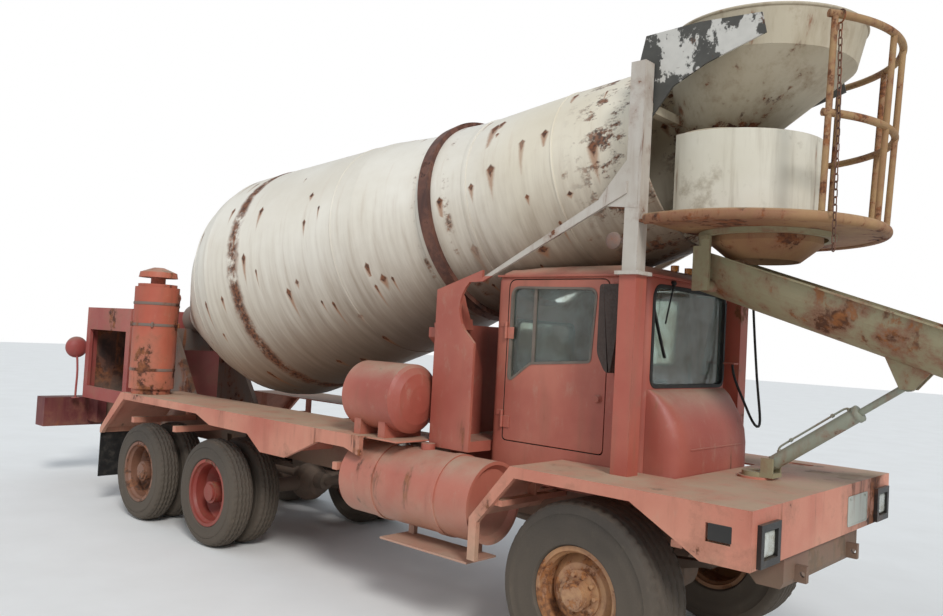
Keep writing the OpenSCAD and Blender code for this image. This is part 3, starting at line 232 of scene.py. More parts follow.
def blend(share, a, b):
    """Colour a turning into colour b as share goes from 0 to 1. Either may be six hex digits."""
    a, b = [rgb(c) if isinstance(c, str) else c for c in (a, b)]
    return add(home(share), "Mix", {"data_type": "RGBA"}, i0=share, i6=a, i7=b).outputs[2]


def step(value, low, high, out_low=0.0, out_high=1.0):
    """A smooth step from out_low, below low, to out_high, above high."""
    return add(home(value), "MapRange", {"interpolation_type": "SMOOTHSTEP"}, Value=value, From_Min=low,
               From_Max=high, To_Min=out_low, To_Max=out_high).outputs[0]


def cloud(where, scale, detail=6.0, roughness=0.6):
    """Cloudy noise about 0.5, at scale blotches to the metre."""
    return add(home(where), "TexNoise", Vector=where, Scale=scale, Detail=detail,
               Roughness=roughness).outputs[0]


def parts(value):
    """The X, Y and Z of a vector or a colour."""
    return add(home(value), "SeparateXYZ", Vector=value).outputs


world = bpy.data.worlds.new("sky")
scene.world = world
world.use_nodes = True
sky = world.node_tree
sky.nodes.clear()
seen = add(sky, "LightPath")
plain = most(seen.outputs["Is Camera Ray"], seen.outputs["Is Transmission Ray"])
ground_up = parts(add(sky, "TexCoord").outputs["Generated"])["Z"]
height = step(ground_up, -0.3, 0.6)
air = add(sky, "Background", Color=blend(height, "A9A59C", "DCE6F2"), Strength=0.72)
paper = add(sky, "Background", Color=(1, 1, 1, 1), Strength=1.0)
both = add(sky, "MixShader", i0=plain, i1=air.outputs[0], i2=paper.outputs[0])
sky.links.new(both.outputs[0], add(sky, "OutputWorld").inputs[0])


def material(name):
    """An empty material: its Principled shader, joined to the output, and the object's own place."""
    made = bpy.data.materials.new(name)
    made.use_nodes = True
    made.node_tree.nodes.clear()
    shader = made.node_tree.nodes.new("ShaderNodeBsdfPrincipled")
    out = made.node_tree.nodes.new("ShaderNodeOutputMaterial")
    made.node_tree.links.new(shader.outputs[0], out.inputs[0])
    return made, shader, add(made.node_tree, "TexCoord").outputs["Object"]


def surface(shader, colour, rough, relief=None, strength=0.5, depth=0.0015):
    """Gives a shader its colour, its roughness and its relief, if it has one."""
    feed(shader, Base_Color=colour, Roughness=rough)
    if relief:
        bump = add(home(relief), "Bump", Height=relief, Strength=strength, Distance=depth)
        feed(shader, Normal=bump.outputs[0])


slab, shader, where = material("floor_slab")
surface(shader, blend(cloud(where, 1.3), "E4E2DD", "F1F0EC"), 0.85)
floor_mesh = bpy.data.meshes.new("floor")
floor_mesh.from_pydata([(x, y, 0) for x in (-60, 0, 60) for y in (-60, 0, 60)], [],
                       [(i + j, i + 3 + j, i + 4 + j, i + 1 + j) for i in (0, 3) for j in (0, 1)])
floor_mesh.materials.append(slab)
floor = bpy.data.objects.new("floor", floor_mesh)
scene.collection.objects.link(floor)


# The frame: pressed channel rails, cross members, pedestals and decks, all sprayed red
# after they were bolted up. The paint has faded, and rust shows at edges and in patches.
def times(a, b):
    """Two values multiplied."""
    return calc("MULTIPLY", a, b)


def plus(a, b):
    """Two values added."""
    return calc("ADD", a, b)


def minus(a, b):
    """The first value less the second."""
    return calc("SUBTRACT", a, b)


def vector(operation, a, b):
    """One rule of arithmetic on two vectors."""
    return add(home(a, b), "VectorMath", {"operation": operation}, i0=a, i1=b)


def stretched(where, x, y, z):
    """The same place with its three axes pulled out or pressed together."""
    return vector("MULTIPLY", where, (x, y, z)).outputs[0]


def effect(name, inputs, outputs):
    """A shared effect: its named numbers go in, its masks and values come out."""
    made = bpy.data.node_groups.new(name, "ShaderNodeTree")
    made.interface.new_socket(name="Where", in_out="INPUT", socket_type="NodeSocketVector")
    for label, value in inputs.items():
        made.interface.new_socket(name=label, in_out="INPUT",
                                  socket_type="NodeSocketFloat").default_value = value
    for label in outputs:
        made.interface.new_socket(name=label, in_out="OUTPUT", socket_type="NodeSocketFloat")
    return made, made.nodes.new("NodeGroupInput").outputs, made.nodes.new("NodeGroupOutput").inputs


def give(value, socket):
    """Joins a result to the group's output."""
    home(value).links.new(value, socket)


def use(made, where, **values):
    """The shared effect placed in a material, with the material's own values."""
    return add(home(where), "Group", {"node_tree": made}, Where=where, **values).outputs


corrosion, ins, outs = effect("corrosion", {"Scale": 2.0, "Spots": 0.6, "Runs": 0.62, "Stretch": 0.12},
                              ("Rust", "Stain", "Pits", "Tone"))
here = ins["Where"]
size = ins["Scale"]
field = cloud(here, times(size, 0.35), 3)
patch = plus(cloud(here, size, 10, 0.68), times(minus(field, 0.5), 0.4))
spots = step(patch, ins["Spots"], plus(ins["Spots"], 0.035))
pressed = add(corrosion, "CombineXYZ", X=1.0, Y=1.0, Z=ins["Stretch"]).outputs[0]
drawn = vector("MULTIPLY", here, pressed).outputs[0]
drip = cloud(drawn, times(size, 5.0), 8, 0.62)
runs = step(plus(drip, times(minus(field, 0.5), 0.5)), ins["Runs"], plus(ins["Runs"], 0.09))
rust = most(spots, times(runs, 0.85))
give(rust, outs["Rust"])
halo = step(patch, minus(ins["Spots"], 0.1), plus(ins["Spots"], 0.02))
wide_runs = step(drip, minus(ins["Runs"], 0.16), plus(ins["Runs"], 0.08))
give(most(halo, times(wide_runs, 0.7)), outs["Stain"])
pits = cloud(here, times(size, 22.0), 6, 0.7)
give(times(pits, rust), outs["Pits"])
give(cloud(here, times(size, 6.0), 5, 0.6), outs["Tone"])

fading, ins, outs = effect("fading", {"Scale": 0.8, "Level": 0.5}, ("Fade", "Grain", "Scuff"))
broad = cloud(ins["Where"], ins["Scale"], 5, 0.55)
give(step(plus(broad, minus(ins["Level"], 0.5)), 0.3, 0.7), outs["Fade"])
give(cloud(ins["Where"], 160, 3, 0.6), outs["Grain"])
give(step(cloud(stretched(ins["Where"], 1.0, 1.0, 0.5), 9.0, 9, 0.7), 0.55, 0.72), outs["Scuff"])

dust, ins, outs = effect("dust", {"Amount": 0.5, "Low": 0.0, "High": 0.6}, ("Lying", "Splash"))
facing = parts(add(dust, "TexCoord").outputs["Normal"])["Z"]
mottle = cloud(ins["Where"], 4.0, 7, 0.65)
lying = times(step(facing, 0.35, 0.95), step(mottle, 0.25, 0.65, 0.35, 1.0))
give(times(lying, ins["Amount"]), outs["Lying"])
level = parts(ins["Where"])["Z"]
low_down = step(plus(level, times(mottle, -0.5)), ins["Low"], ins["High"], 1.0, 0.0)
give(times(low_down, ins["Amount"]), outs["Splash"])

worn_edges, ins, outs = effect("worn_edges", {"Radius": 0.006, "Level": 0.5}, ("Edge",))
softened = add(worn_edges, "Bevel", {"samples": 4}, Radius=ins["Radius"]).outputs[0]
flat = add(worn_edges, "NewGeometry").outputs["Normal"]
turn = minus(1.0, vector("DOT_PRODUCT", softened, flat).outputs["Value"])
broken = cloud(ins["Where"], 14, 8, 0.7)
edge = times(step(turn, 0.01, 0.12), step(broken, minus(0.75, times(ins["Level"], 0.5)), 0.75))
give(edge, outs["Edge"])


def painted(name, fresh, faded, fade=0.5, scale=1.6, spots=0.64, runs=0.66, stretch=0.12, stain="8A5A45",
            lying=0.5, splash=(0.2, 0.9), mud="8E7F6C", edges=0.5, gloss=0.5, rust=("4A2A1E", "8C5433"),
            stain_share=0.5):
    """Old paint on steel: fresh under faded, then stains, rust, bare edges and dust over it."""
    made, shader, where = material(name)
    aged = use(fading, where, Level=fade)
    eaten = use(corrosion, where, Scale=scale, Spots=spots, Runs=runs, Stretch=stretch)
    dirt = use(dust, where, Amount=lying, Low=splash[0], High=splash[1])
    worn = use(worn_edges, where, Level=edges)
    colour = blend(aged["Fade"], fresh, faded)
    colour = blend(times(aged["Scuff"], 0.25), colour, mud)
    colour = blend(times(eaten["Stain"], stain_share), colour, stain)
    brown = blend(step(eaten["Tone"], 0.38, 0.62), rust[0], rust[1])
    bare = most(eaten["Rust"], worn["Edge"])
    colour = blend(bare, colour, brown)
    film = most(dirt["Lying"], times(dirt["Splash"], 0.9))
    colour = blend(film, colour, mud)
    rough = step(aged["Grain"], 0.3, 0.7, gloss - 0.06, gloss + 0.1)
    rough = most(rough, times(most(bare, film), 0.88))
    relief = plus(eaten["Pits"], times(aged["Grain"], 0.12))
    surface(shader, colour, rough, minus(relief, times(bare, 0.5)))
    return made


def dress(made, *names):
    """Puts a finish on CAD pieces that stay as they are."""
    for name in names:
        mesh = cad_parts[name].data
        if not mesh.materials:
            mesh.materials.append(made)
        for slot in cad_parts[name].material_slots:
            slot.material = made


cab_red = painted("cab_red", "9E4E40", "BC7460", spots=0.68, lying=0.75, gloss=0.48, mud="B09C86")
deck_red = painted("deck_red", "B2604E", "CE8E76", fade=0.55, spots=0.63, runs=0.64, lying=0.9,
                   mud="B59E84", gloss=0.6)
frame_red = painted("frame_red", "7C382F", "985848", fade=0.4, spots=0.56, runs=0.58, lying=0.9,
                    splash=(0.5, 1.3), mud="7A6A58", gloss=0.7)
hood_red = painted("hood_red", "974640", "B56E60", fade=0.45, lying=0.75, gloss=0.55)
running_gear = painted("running_gear", "3B2B26", "57433A", spots=0.5, runs=0.55, lying=0.9,
                       splash=(0.7, 1.3), mud="75675A", gloss=0.8)
# Painted shade: the rear bumper gets a darker copy of the frame's red, which stands in for the shade it
# sits in.
bumper_shaded_red = painted("bumper_shaded_red", "5C2526", "7C3E3A", fade=0.4, spots=0.6, runs=0.62, lying=0.45,
                     splash=(0.2, 0.6), mud="7A6254", gloss=0.6)
dress(frame_red, "frame_rails", "nose_beam")
dress(bumper_shaded_red, "rear_bumper")
dress(deck_red, "front_deck", "rear_deck")
dress(hood_red, "engine_hood")
dress(running_gear, "front_axle", "front_springs", "rear_axles", "walking_beams", "driveline",
      "knuckle_right", "knuckle_left", "engine_block", "radiator")
dress(cab_red, "ring_pedestal", "water_tank", "fuel_tank", "tank_step")

# The cab: one welded shell of folded sheet on two floor bearers. Its roof is crowned, and
# dished where the drum's neck hangs over it. The windows sit in rubber, and each door hangs
# from two pin hinges at its rear edge.
def rounded(points, radii, count=6):
    """An outline with eased corners: each is a parabola from one side to the next."""
    p = np.asarray(points, float)
    before, after = np.roll(p, 1, 0) - p, np.roll(p, -1, 0) - p
    before /= np.linalg.norm(before, axis=1)[:, None]
    after /= np.linalg.norm(after, axis=1)[:, None]
    r = np.broadcast_to(radii, len(p))[:, None, None]
    t = np.linspace(0, 1, count)[None, :, None]
    a, b = p[:, None] + r * before[:, None], p[:, None] + r * after[:, None]
    return ((1 - t) ** 2 * a + 2 * t * (1 - t) * p[:, None] + t ** 2 * b).reshape(-1, 2)


def corners(x0, z0, x1, z1):
    """The four corners of an upright rectangle."""
    return [(x0, z0), (x1, z0), (x1, z1), (x0, z1)]


def peg(radius, low, high):
    """The outline of a plain round peg, for turned."""
    return [(0, low), (radius, low), (radius, high), (0, high)]


def at(x, y, z):
    """A place whose x is measured from the front axle."""
    return np.array((axle_x + x, y, z))


def on_side(outline, y):
    """A flat outline of (x, z), x from the front axle, stood up at the place y."""
    flat = np.asarray(outline, float)
    return np.stack([flat[:, 0] + axle_x, np.full(len(flat), y), flat[:, 1]], -1)


def on_front(outline, x):
    """A flat outline of (y, z), stood up at the place x from the front axle."""
    flat = np.asarray(outline, float)
    return np.stack([np.full(len(flat), x + axle_x), flat[:, 0], flat[:, 1]], -1)


def slab_form(place, outline, a, b):
    """A flat outline given thickness, from place a to place b."""
    return skin(np.stack([place(outline, a), place(outline, b)]))


def box_form(low, high):
    """A plain bar or plate between two corners, x from the front axle."""
    (x0, y0, z0), (x1, y1, z1) = low, high
    return slab_form(on_side, corners(x0, z0, x1, z1), y0, y1)


def frame_form(outer, inner, place, a, b):
    """A flat panel round one opening: both outlines have the same number of points."""
    return skin(np.stack([place(outer, a), place(inner, a), place(inner, b), place(outer, b)]), True, True)


def turned(outline, centre, direction, count=24, loop=False, spin=0.0):
    """An outline of (radius, height) pairs turned about an axis through the centre."""
    axis = np.asarray(direction, float) / np.linalg.norm(direction)
    first = np.cross(axis, (0.1, 0.2, 1.0) if abs(axis[2]) < 0.9 else (1.0, 0.2, 0.1))
    first /= np.linalg.norm(first)
    second = np.cross(axis, first)
    a = spin + np.arange(count) * 2 * np.pi / count
    spoke = np.cos(a)[:, None] * first + np.sin(a)[:, None] * second
    line = np.asarray(outline, float)
    return skin(np.asarray(centre, float) + line[:, :1, None] * spoke[None] + line[:, 1:, None] * axis,
                True, loop)


drum_tilt, ring_x, ring_z = np.radians(11.5), -1.836, 3.214
cab_x0, cab_x1, cab_half, cab_wall = -1.222, 0.12, 0.61, 0.04
cab_floor = 1.16
glass_y, glass_x, rear_glass_x, glass_half = 0.59, 0.097, -1.202, 0.003
crown_rows = ((0, cab_floor), (0, 1.7), (0, 2.2), (0, 2.62), (0.006, 2.655), (0.022, 2.688), (0.06, 2.715),
              (0.12, 2.738), (0.2, 2.752), (0.35, 2.766), (0.5, 2.774), (0.59, 2.778))


def drum_belly(x, y):
    """How high the drum's underside is over a point of the roof, worked out in four turns from
    its radius, which falls by 83 mm to the metre ahead of the ring."""
    dx = x - ring_x
    height = np.full(np.shape(x), -0.7)
    for _ in range(4):
        s = dx * np.cos(drum_tilt) + height * np.sin(drum_tilt)
        deep = np.sqrt(np.maximum((0.850 - 0.083 * s) ** 2 - y ** 2, 0))
        height = (dx * np.sin(drum_tilt) - deep) / np.cos(drum_tilt)
    return ring_z + height


def cab_body(inset):
    """The cab's solid drawn in by an inset: rings of one rounded rectangle, each higher and
    smaller than the last, and nowhere nearer than 40 mm to the drum above them."""
    rings = []
    for d, z in crown_rows:
        x0, x1, y1 = cab_x0 + inset + d, cab_x1 - inset - d, cab_half - inset - d
        base = corners(x0, -y1, x1, y1)
        easy = rounded(base, np.minimum((0.05, 0.07, 0.07, 0.05), y1 * 0.4), 5).reshape(4, 5, 2)
        ends = np.roll(easy, -1, 0)[:, :1]
        t = np.linspace(0, 1, 18)[1:-1, None]
        ring = np.concatenate([np.concatenate([easy[i], easy[i, -1:] * (1 - t) + ends[i] * t])
                               for i in range(4)])
        high = np.full(len(ring), z - inset if z > cab_floor else z + inset)
        high = np.minimum(high, drum_belly(ring[:, 0], ring[:, 1]) - 0.04 - inset)
        rings.append(np.column_stack([ring[:, 0] + axle_x, ring[:, 1], high]))
    return skin(np.stack(rings))


doorway = rounded([(-1.110, 1.400), (-0.85, 1.400), (-0.190, 1.400), (-0.190, 2.640), (-1.110, 2.640)],
                  (0.04, 0.01, 0.04, 0.07, 0.07))
door_edge = rounded([(-1.103, 1.407), (-0.85, 1.407), (-0.197, 1.407), (-0.197, 2.633), (-1.103, 2.633)],
                    (0.04, 0.01, 0.04, 0.065, 0.065))
door_light = rounded([(-1.072, 1.855), (-0.87, 2.005), (-0.335, 2.045), (-0.302, 2.565), (-1.072, 2.575)],
                     (0.05, 0.03, 0.03, 0.07, 0.07))
quarter_light = rounded([(-0.156, 2.11), (-0.085, 1.985), (-0.045, 1.985), (0.050, 2.585), (-0.156, 2.585)],
                        (0.04, 0.03, 0.02, 0.04, 0.03))
windshield = rounded(corners(-0.545, 1.905, 0.545, 2.600), (0.07, 0.07, 0.10, 0.10))
rear_light = rounded(corners(-0.38, 1.90, 0.38, 2.33), 0.06)


def cut(made, *cutters):
    """Takes the cutters out of a mesh, one after the other, and clears them away."""
    for cutter in cutters:
        taken = made.modifiers.new("cut", "BOOLEAN")
        taken.operation = "DIFFERENCE"
        taken.object = cutter
    whole = bpy.data.meshes.new_from_object(made.evaluated_get(bpy.context.evaluated_depsgraph_get()))
    made.modifiers.clear()
    made.data = whole
    for cutter in cutters:
        bpy.data.objects.remove(cutter)


def soften(made, width):
    """Rounds the sharp edges of a piece a little, so that they catch the light."""
    ease = made.modifiers.new("edges", "BEVEL")
    ease.width = width
    ease.segments = 2
    ease.limit_method = "ANGLE"
    ease.angle_limit = np.radians(50)
    ease.harden_normals = False


cab = loose("cab_sheet", [cab_body(0.0)])
openings = loose("openings", [slab_form(on_side, doorway, -0.8, 0.8),
                              slab_form(on_front, windshield, 0.055, 0.4),
                              slab_form(on_front, rear_light, -1.5, -1.15),
                              slab_form(on_side, quarter_light, -0.8, -0.5),
                              slab_form(on_side, quarter_light, 0.5, 0.8)])
cut(cab, loose("room", [cab_body(cab_wall)]), openings)
shaded(cab)
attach(cab, "chassis")
soften(cab, 0.003)

# The nose below the windshield is a box of its own, and so are the bearers, the hinge halves
# on the shell, the rain gutter, the hose's bracket and the round catch ahead of the door.
nose_rows = ((0.365, 1.20), (0.365, 1.50), (0.352, 1.60), (0.318, 1.69), (0.262, 1.78), (0.20, 1.845),
             (0.13, 1.886))
nose_rings = []
for reach, z in nose_rows:
    ring = rounded(corners(0.09, -0.578, reach, 0.578),
                   (0.004, min(0.17, reach - 0.10), min(0.17, reach - 0.10), 0.004), 7)
    nose_rings.append(np.column_stack([ring[:, 0] + axle_x, ring[:, 1], np.full(len(ring), z)]))
nose_form = skin(np.stack(nose_rings))
hinge_x, hinge_y, hinge_z, hinge_r = -1.11, 0.624, (1.500, 2.180), 0.012
hinge_leaf = 0.6135
hinge_forms = [turned(peg(hinge_r, 0.091, 0.131), at(hinge_x, s * hinge_y, z), (0, 0, 1), 16)
               for s in (-1, 1) for z in hinge_z]
hinge_plates = [box_form((-1.17, s * hinge_leaf - 0.0045, z + 0.091),
                         (-1.11, s * hinge_leaf + 0.0045, z + 0.131)) for s in (-1, 1) for z in hinge_z]
bearers = [box_form((-1.19, y, 1.10), (0.10, y + 0.18, 1.17)) for y in (-0.55, 0.37)]
bracket = [box_form((0.10, 0.532, 2.0765), (0.215, 0.612, 2.0865))]
catch = [turned([(0, 0), (0.030, 0), (0.030, 0.006), (0.016, 0.010), (0.014, 0.030), (0.024, 0.034),
                 (0.022, 0.048), (0, 0.050)], at(-0.09, s * 0.61, 1.695), (0, s, 0), 24) for s in (-1, 1)]
gutter_line = rounded(corners(cab_x0, -0.613, cab_x1 + 0.003, 0.613), (0.002, 0.07, 0.07, 0.002), 7)[6:-6]
gutter_path = np.column_stack([gutter_line[:, 0] + axle_x, gutter_line[:, 1],
                               np.full(len(gutter_line), 2.662)])
gutter = tube(gutter_path, [(-0.010, -0.007), (0.012, -0.007), (0.014, 0.010), (0.010, 0.010),
                            (0.008, -0.002), (-0.010, -0.002)], (0, 0, 1))
seams = [tube([at(0.366, -0.40, z), at(0.366, 0.40, z)], corners(-0.003, -0.006, 0.003, 0.006), (0, 0, 1))
         for z in (1.255, 1.497)]
piece("cab_nose", [nose_form, gutter] + bearers + bracket + catch + hinge_forms + hinge_plates + seams,
      "chassis", ["cab_shell"], finish=cab_red, edges=0.0025)

# The doors: a folded sheet panel round one tall light with a sliding pane, a round knob and
# the two outer hinge halves. Rubber, sash bar and glass belong to each door.
def side_pane(outline, s):
    """A pane of the right (s = -1) or left side, set in the middle of its rubber."""
    return slab_form(on_side, outline, s * (glass_y - glass_half), s * (glass_y + glass_half))


door_rubber, door_panes = [], []
for s, side in ((-1, "right"), (1, "left")):
    y_out, y_in = s * cab_half, s * (cab_half - cab_wall)
    body = f"door_{side[0]}"
    leaf = [frame_form(door_edge, door_light, on_side, y_out, y_in)]
    leaf += [turned(peg(hinge_r, 0, 0.09), at(hinge_x, s * hinge_y, z), (0, 0, 1), 16) for z in hinge_z]
    leaf += [box_form((-1.10, s * hinge_leaf - 0.0045, z), (-1.04, s * hinge_leaf + 0.0045, z + 0.09))
             for z in hinge_z]
    leaf += [turned([(0, -0.001), (0.028, -0.001), (0.028, 0.005), (0.014, 0.009), (0.013, 0.022),
                     (0.026, 0.026), (0.022, 0.030), (0, 0.030)], at(-0.25, y_out, 1.79), (0, s, 0), 24)]
    piece(f"door_{side}_panel", leaf, body, [f"door_{side}"], finish=cab_red, edges=0.0025)
    band = [(-0.011, -0.024), (0.006, -0.024), (0.008, -0.020), (0.008, 0.020), (0.006, 0.024),
            (-0.011, 0.024)]
    loop = tube(on_side(door_light, s * glass_y), band, (0, 1, 0), True)
    bar = box_form((-0.868, s * glass_y - 0.012, 2.0), (-0.842, s * glass_y + 0.012, 2.575))
    door_rubber.append(piece(f"door_{side}_gasket", [loop, bar], body))
    door_panes.append(piece(f"door_{side}_pane", [side_pane(door_light, s)], body,
                            [f"door_glass_{side}"]))

# The fixed glass in its rubber, and the wiper, which hangs from a spindle over the right
# half of the windshield.
panes = [slab_form(on_front, windshield, glass_x - glass_half, glass_x + glass_half),
         slab_form(on_front, rear_light, rear_glass_x - glass_half, rear_glass_x + glass_half)]
panes += [side_pane(quarter_light, s) for s in (-1, 1)]
fixed_glass = piece("cab_panes", panes, "chassis", ["cab_glass"])
thick = [(-0.014, -0.026), (0.010, -0.026), (0.013, -0.021), (0.013, 0.021), (0.010, 0.026),
         (-0.014, 0.026)]
rubbers = [tube(on_front(windshield, 0.10), thick, (1, 0, 0), True),
           tube(on_front(rear_light, rear_glass_x), thick, (1, 0, 0), True)]
rubbers += [tube(on_side(quarter_light, s * glass_y), [(x * 0.6, y * 0.9) for x, y in thick], (0, 1, 0),
                 True) for s in (-1, 1)]
arm = np.array([(0.135, -0.30, 2.63), (0.140, -0.34, 2.56), (0.132, -0.40, 2.34)]) + (axle_x, 0, 0)
blade = np.array([(0.122, -0.545, 2.45), (0.120, -0.45, 2.27), (0.122, -0.362, 2.104)]) + (axle_x, 0, 0)
wiper = [tube(arm, circle(0.006, 8), (1, 0, 0)),
         tube(blade, [(-0.004, -0.016), (0.004, -0.016), (0.007, 0.004), (-0.007, 0.004)], (1, 0, 0)),
         turned([(0, -0.02), (0.018, -0.02), (0.018, 0.02), (0.010, 0.026), (0, 0.026)],
                at(0.12, -0.30, 2.63), (1, 0, 0), 16)]
cab_rubber = piece("cab_gaskets", rubbers + wiper, "chassis")

# Painted shade: every inner face of the cab's shell gets a dark brown-black, which stands in for the shade
# inside the cab.
cab_inside_shade, shader, where = material("cab_inside_shade")
surface(shader, blend(cloud(where, 7, 8), "2A211D", "4A3A32"),
        step(cloud(where, 60, 4), 0.3, 0.7, 0.6, 0.9), cloud(where, 300, 3), 0.2, 0.001)
cab.data.materials.append(cab_red)
cab.data.materials.append(cab_inside_shade)
heart = at((cab_x0 + cab_x1) / 2, 0, 1.9)
centres, normals = np.zeros((2, len(cab.data.polygons), 3), np.float32)
cab.data.polygons.foreach_get("center", centres.ravel())
cab.data.polygons.foreach_get("normal", normals.ravel())
inner = (((heart - centres) * normals).sum(1) > 0.05).astype(np.int32)
cab.data.polygons.foreach_set("material_index", inner)

rubber_black, shader, where = material("rubber_black")
chalk = cloud(where, 12, 8, 0.7)
surface(shader, blend(step(chalk, 0.45, 0.7), "171513", "3B3630"), step(chalk, 0.3, 0.7, 0.55, 0.85),
        cloud(where, 220, 4), 0.3, 0.0006)
cab_rubber.data.materials.append(rubber_black)
hose.data.materials.append(rubber_black)
sash, shader, where = material("sash_rubber")
surface(shader, blend(cloud(where, 10, 7), "4E4640", "8A7C6E"),
        step(cloud(where, 80, 4), 0.3, 0.7, 0.5, 0.75))
for made in door_rubber:
    made.data.materials.append(sash)

window_glass, shader, where = material("window_glass")
grime = cloud(where, 3.0, 9, 0.7)
surface(shader, blend(step(grime, 0.4, 0.7), "C9D6CF", "A7A797"), step(grime, 0.35, 0.7, 0.03, 0.16))
feed(shader, Transmission_Weight=0.92, IOR=1.45)
for made in door_panes + [fixed_glass]:
    made.data.materials.append(window_glass)

# The drum: rolled and welded plate, sprayed white once. Rust comes through at the stitch welds
# of the spiral inside, in slanting rows, and runs down from them. Its lower half is painted
# brown, and darker brown towards the bottom.
ring_place = Vector(at(ring_x, 0, ring_z))
drum_axis = Vector((np.cos(drum_tilt), 0, np.sin(drum_tilt)))
drum_up = Vector((-np.sin(drum_tilt), 0, np.cos(drum_tilt)))
drum_white, shader, where = material("drum_white")
from_ring = vector("SUBTRACT", where, ring_place).outputs[0]


def share_along(place, direction):
    """How far a place lies along a direction."""
    return vector("DOT_PRODUCT", place, direction).outputs["Value"]


along = share_along(from_ring, drum_axis)
sideways = share_along(from_ring, (0, 1, 0))
around = calc("ARCTAN2", sideways, share_along(from_ring, drum_up))
fall = calc("ABSOLUTE", around)
shift = times(calc("GREATER_THAN", sideways, 0.0), 17.3)
unrolled = add(home(along), "CombineXYZ", X=plus(along, shift), Y=fall, Z=0.0).outputs[0]


def drips(unrolled, density, least, wide, long, seed, tall=0.4):
    """Rust spots with a run below each. Every cell of a Voronoi net holds one spot, which is
    drawn where the cell's chance, raised near the spiral's slanting line, is high enough."""
    tree = home(unrolled)
    place = add(tree, "VectorMath", {"operation": "MULTIPLY_ADD"}, i0=unrolled,
                i1=(density, density * tall, 1), i2=(seed, seed, 0)).outputs[0]
    cells = add(tree, "TexVoronoi", {"voronoi_dimensions": "2D"}, Vector=place, Scale=1.0)
    offset = vector("SUBTRACT", place, cells.outputs["Position"]).outputs[0]
    local = parts(offset)
    down = calc("DIVIDE", local["Y"], tall)
    chance = parts(cells.outputs["Color"])
    heart = parts(cells.outputs["Position"])
    turn = plus(times(heart["X"], 0.62 / density), times(heart["Y"], 0.55 / density / tall))
    near_line = step(calc("ABSOLUTE", minus(calc("FRACT", turn), 0.5)), 0.02, 0.16, 1.0, 0.0)
    lucky = plus(chance["X"], times(near_line, 0.34))
    drawn = step(lucky, least, least + 0.12)
    wobble = times(minus(cloud(unrolled, 24, 5, 0.7), 0.5), 0.5)
    breadth = times(plus(0.35, chance["Y"]), wide)
    side = calc("DIVIDE", calc("ABSOLUTE", plus(local["X"], times(wobble, breadth))), breadth)
    below = calc("DIVIDE", most(down, 0.0), times(plus(0.2, chance["Z"]), long))
    above = calc("DIVIDE", most(times(down, -1.0), 0.0), times(breadth, 1.4))
    spot = step(plus(plus(side, times(below, 3.2)), plus(above, wobble)), 0.55, 1.0, 1.0, 0.0)
    trail = step(plus(plus(times(side, 0.8), below), above), 0.45, 1.05, 1.0, 0.0)
    return times(spot, drawn), times(trail, drawn)


small_spot, small_trail = drips(unrolled, 6.0, 0.72, 0.18, 1.8, 3.1)
big_spot, big_trail = drips(unrolled, 3.4, 0.80, 0.16, 1.6, 9.7)
crumble = cloud(stretched(unrolled, 1.0, 1.0, 0.0), 9.0, 10, 0.72)


def seam(place, reach, least):
    """Broken rust along one round weld of the drum, with runs that trail off it."""
    away = calc("ABSOLUTE", minus(plus(along, times(minus(crumble, 0.5), reach)), place))
    band = step(away, reach * 0.25, reach, 1.0, 0.0)
    return times(band, step(cloud(unrolled, 3.2, 9, 0.75), least, least + 0.14))


weld_rust = seam(-2.37, 0.10, 0.36)
for place, reach, least in ((0.19, 0.05, 0.5), (-0.15, 0.03, 0.52), (-3.15, 0.04, 0.6), (-1.05, 0.03, 0.62),
                            (1.3, 0.05, 0.56)):
    weld_rust = most(weld_rust, seam(place, reach, least))
mouth_rust = times(step(along, 1.25, 1.6), step(cloud(unrolled, 4.5, 9, 0.75), 0.5, 0.58))
rust = most(most(small_spot, big_spot), most(weld_rust, mouth_rust))
haze = most(most(small_trail, big_trail), times(weld_rust, 0.8))
streaks = cloud(stretched(unrolled, 7.0, 0.55, 0.0), 2.2, 8, 0.62)
# The white turns brown over the lower half of the drum and dark brown near its bottom.
low_side = plus(fall, minus(streaks, 0.5))
low_darkening = step(low_side, 1.25, 2.5, 0.0, 0.75)
colour = blend(step(cloud(unrolled, 0.8, 6), 0.3, 0.7), "EAE4D7", "D9D0BF")
colour = blend(times(step(along, 0.3, 1.0), 0.35), colour, "D8C8A4")
colour = blend(times(step(streaks, 0.54, 0.72), 0.14), colour, "BC9C7A")
colour = blend(low_darkening, colour, "96806A")
colour = blend(step(low_side, 1.9, 3.0, 0.0, 0.7), colour, "5E4C3E")
colour = blend(times(haze, 0.75), colour, "9E6C48")
brown = blend(step(cloud(where, 38, 5), 0.4, 0.6), "3B231B", "7C4B30")
colour = blend(times(rust, 0.94), colour, brown)
grain = cloud(where, 90, 4)
rough = plus(times(rust, 0.35), step(grain, 0.3, 0.7, 0.42, 0.58))
dents = times(cloud(where, 2.4, 2), 3.0)
relief = plus(dents, minus(times(grain, 0.2), times(rust, crumble)))
surface(shader, colour, rough, relief, 0.45, 0.002)

track_rust = painted("track_rust", "3E2620", "543329", spots=0.56, runs=0.6, lying=0.15, splash=(0.1, 0.2),
                     edges=0.1, gloss=0.62, rust=("33201A", "5A3626"))
dress(drum_white, "drum_shell")
dress(track_rust, "track_ring", "roller_right", "roller_left")

# The drum's trim: raised weld beads where its plates meet, the pressed band ahead of the
# ring, and the rolled lip of its mouth. The rows hold place, radius and half width.
def hoop(inside, shoulder, top, half, flat):
    """The outline of a raised band, for turned: its flat top is narrower than its foot."""
    return [(inside, -half), (shoulder, -half), (top, -flat), (top, flat), (shoulder, half), (inside, half)]


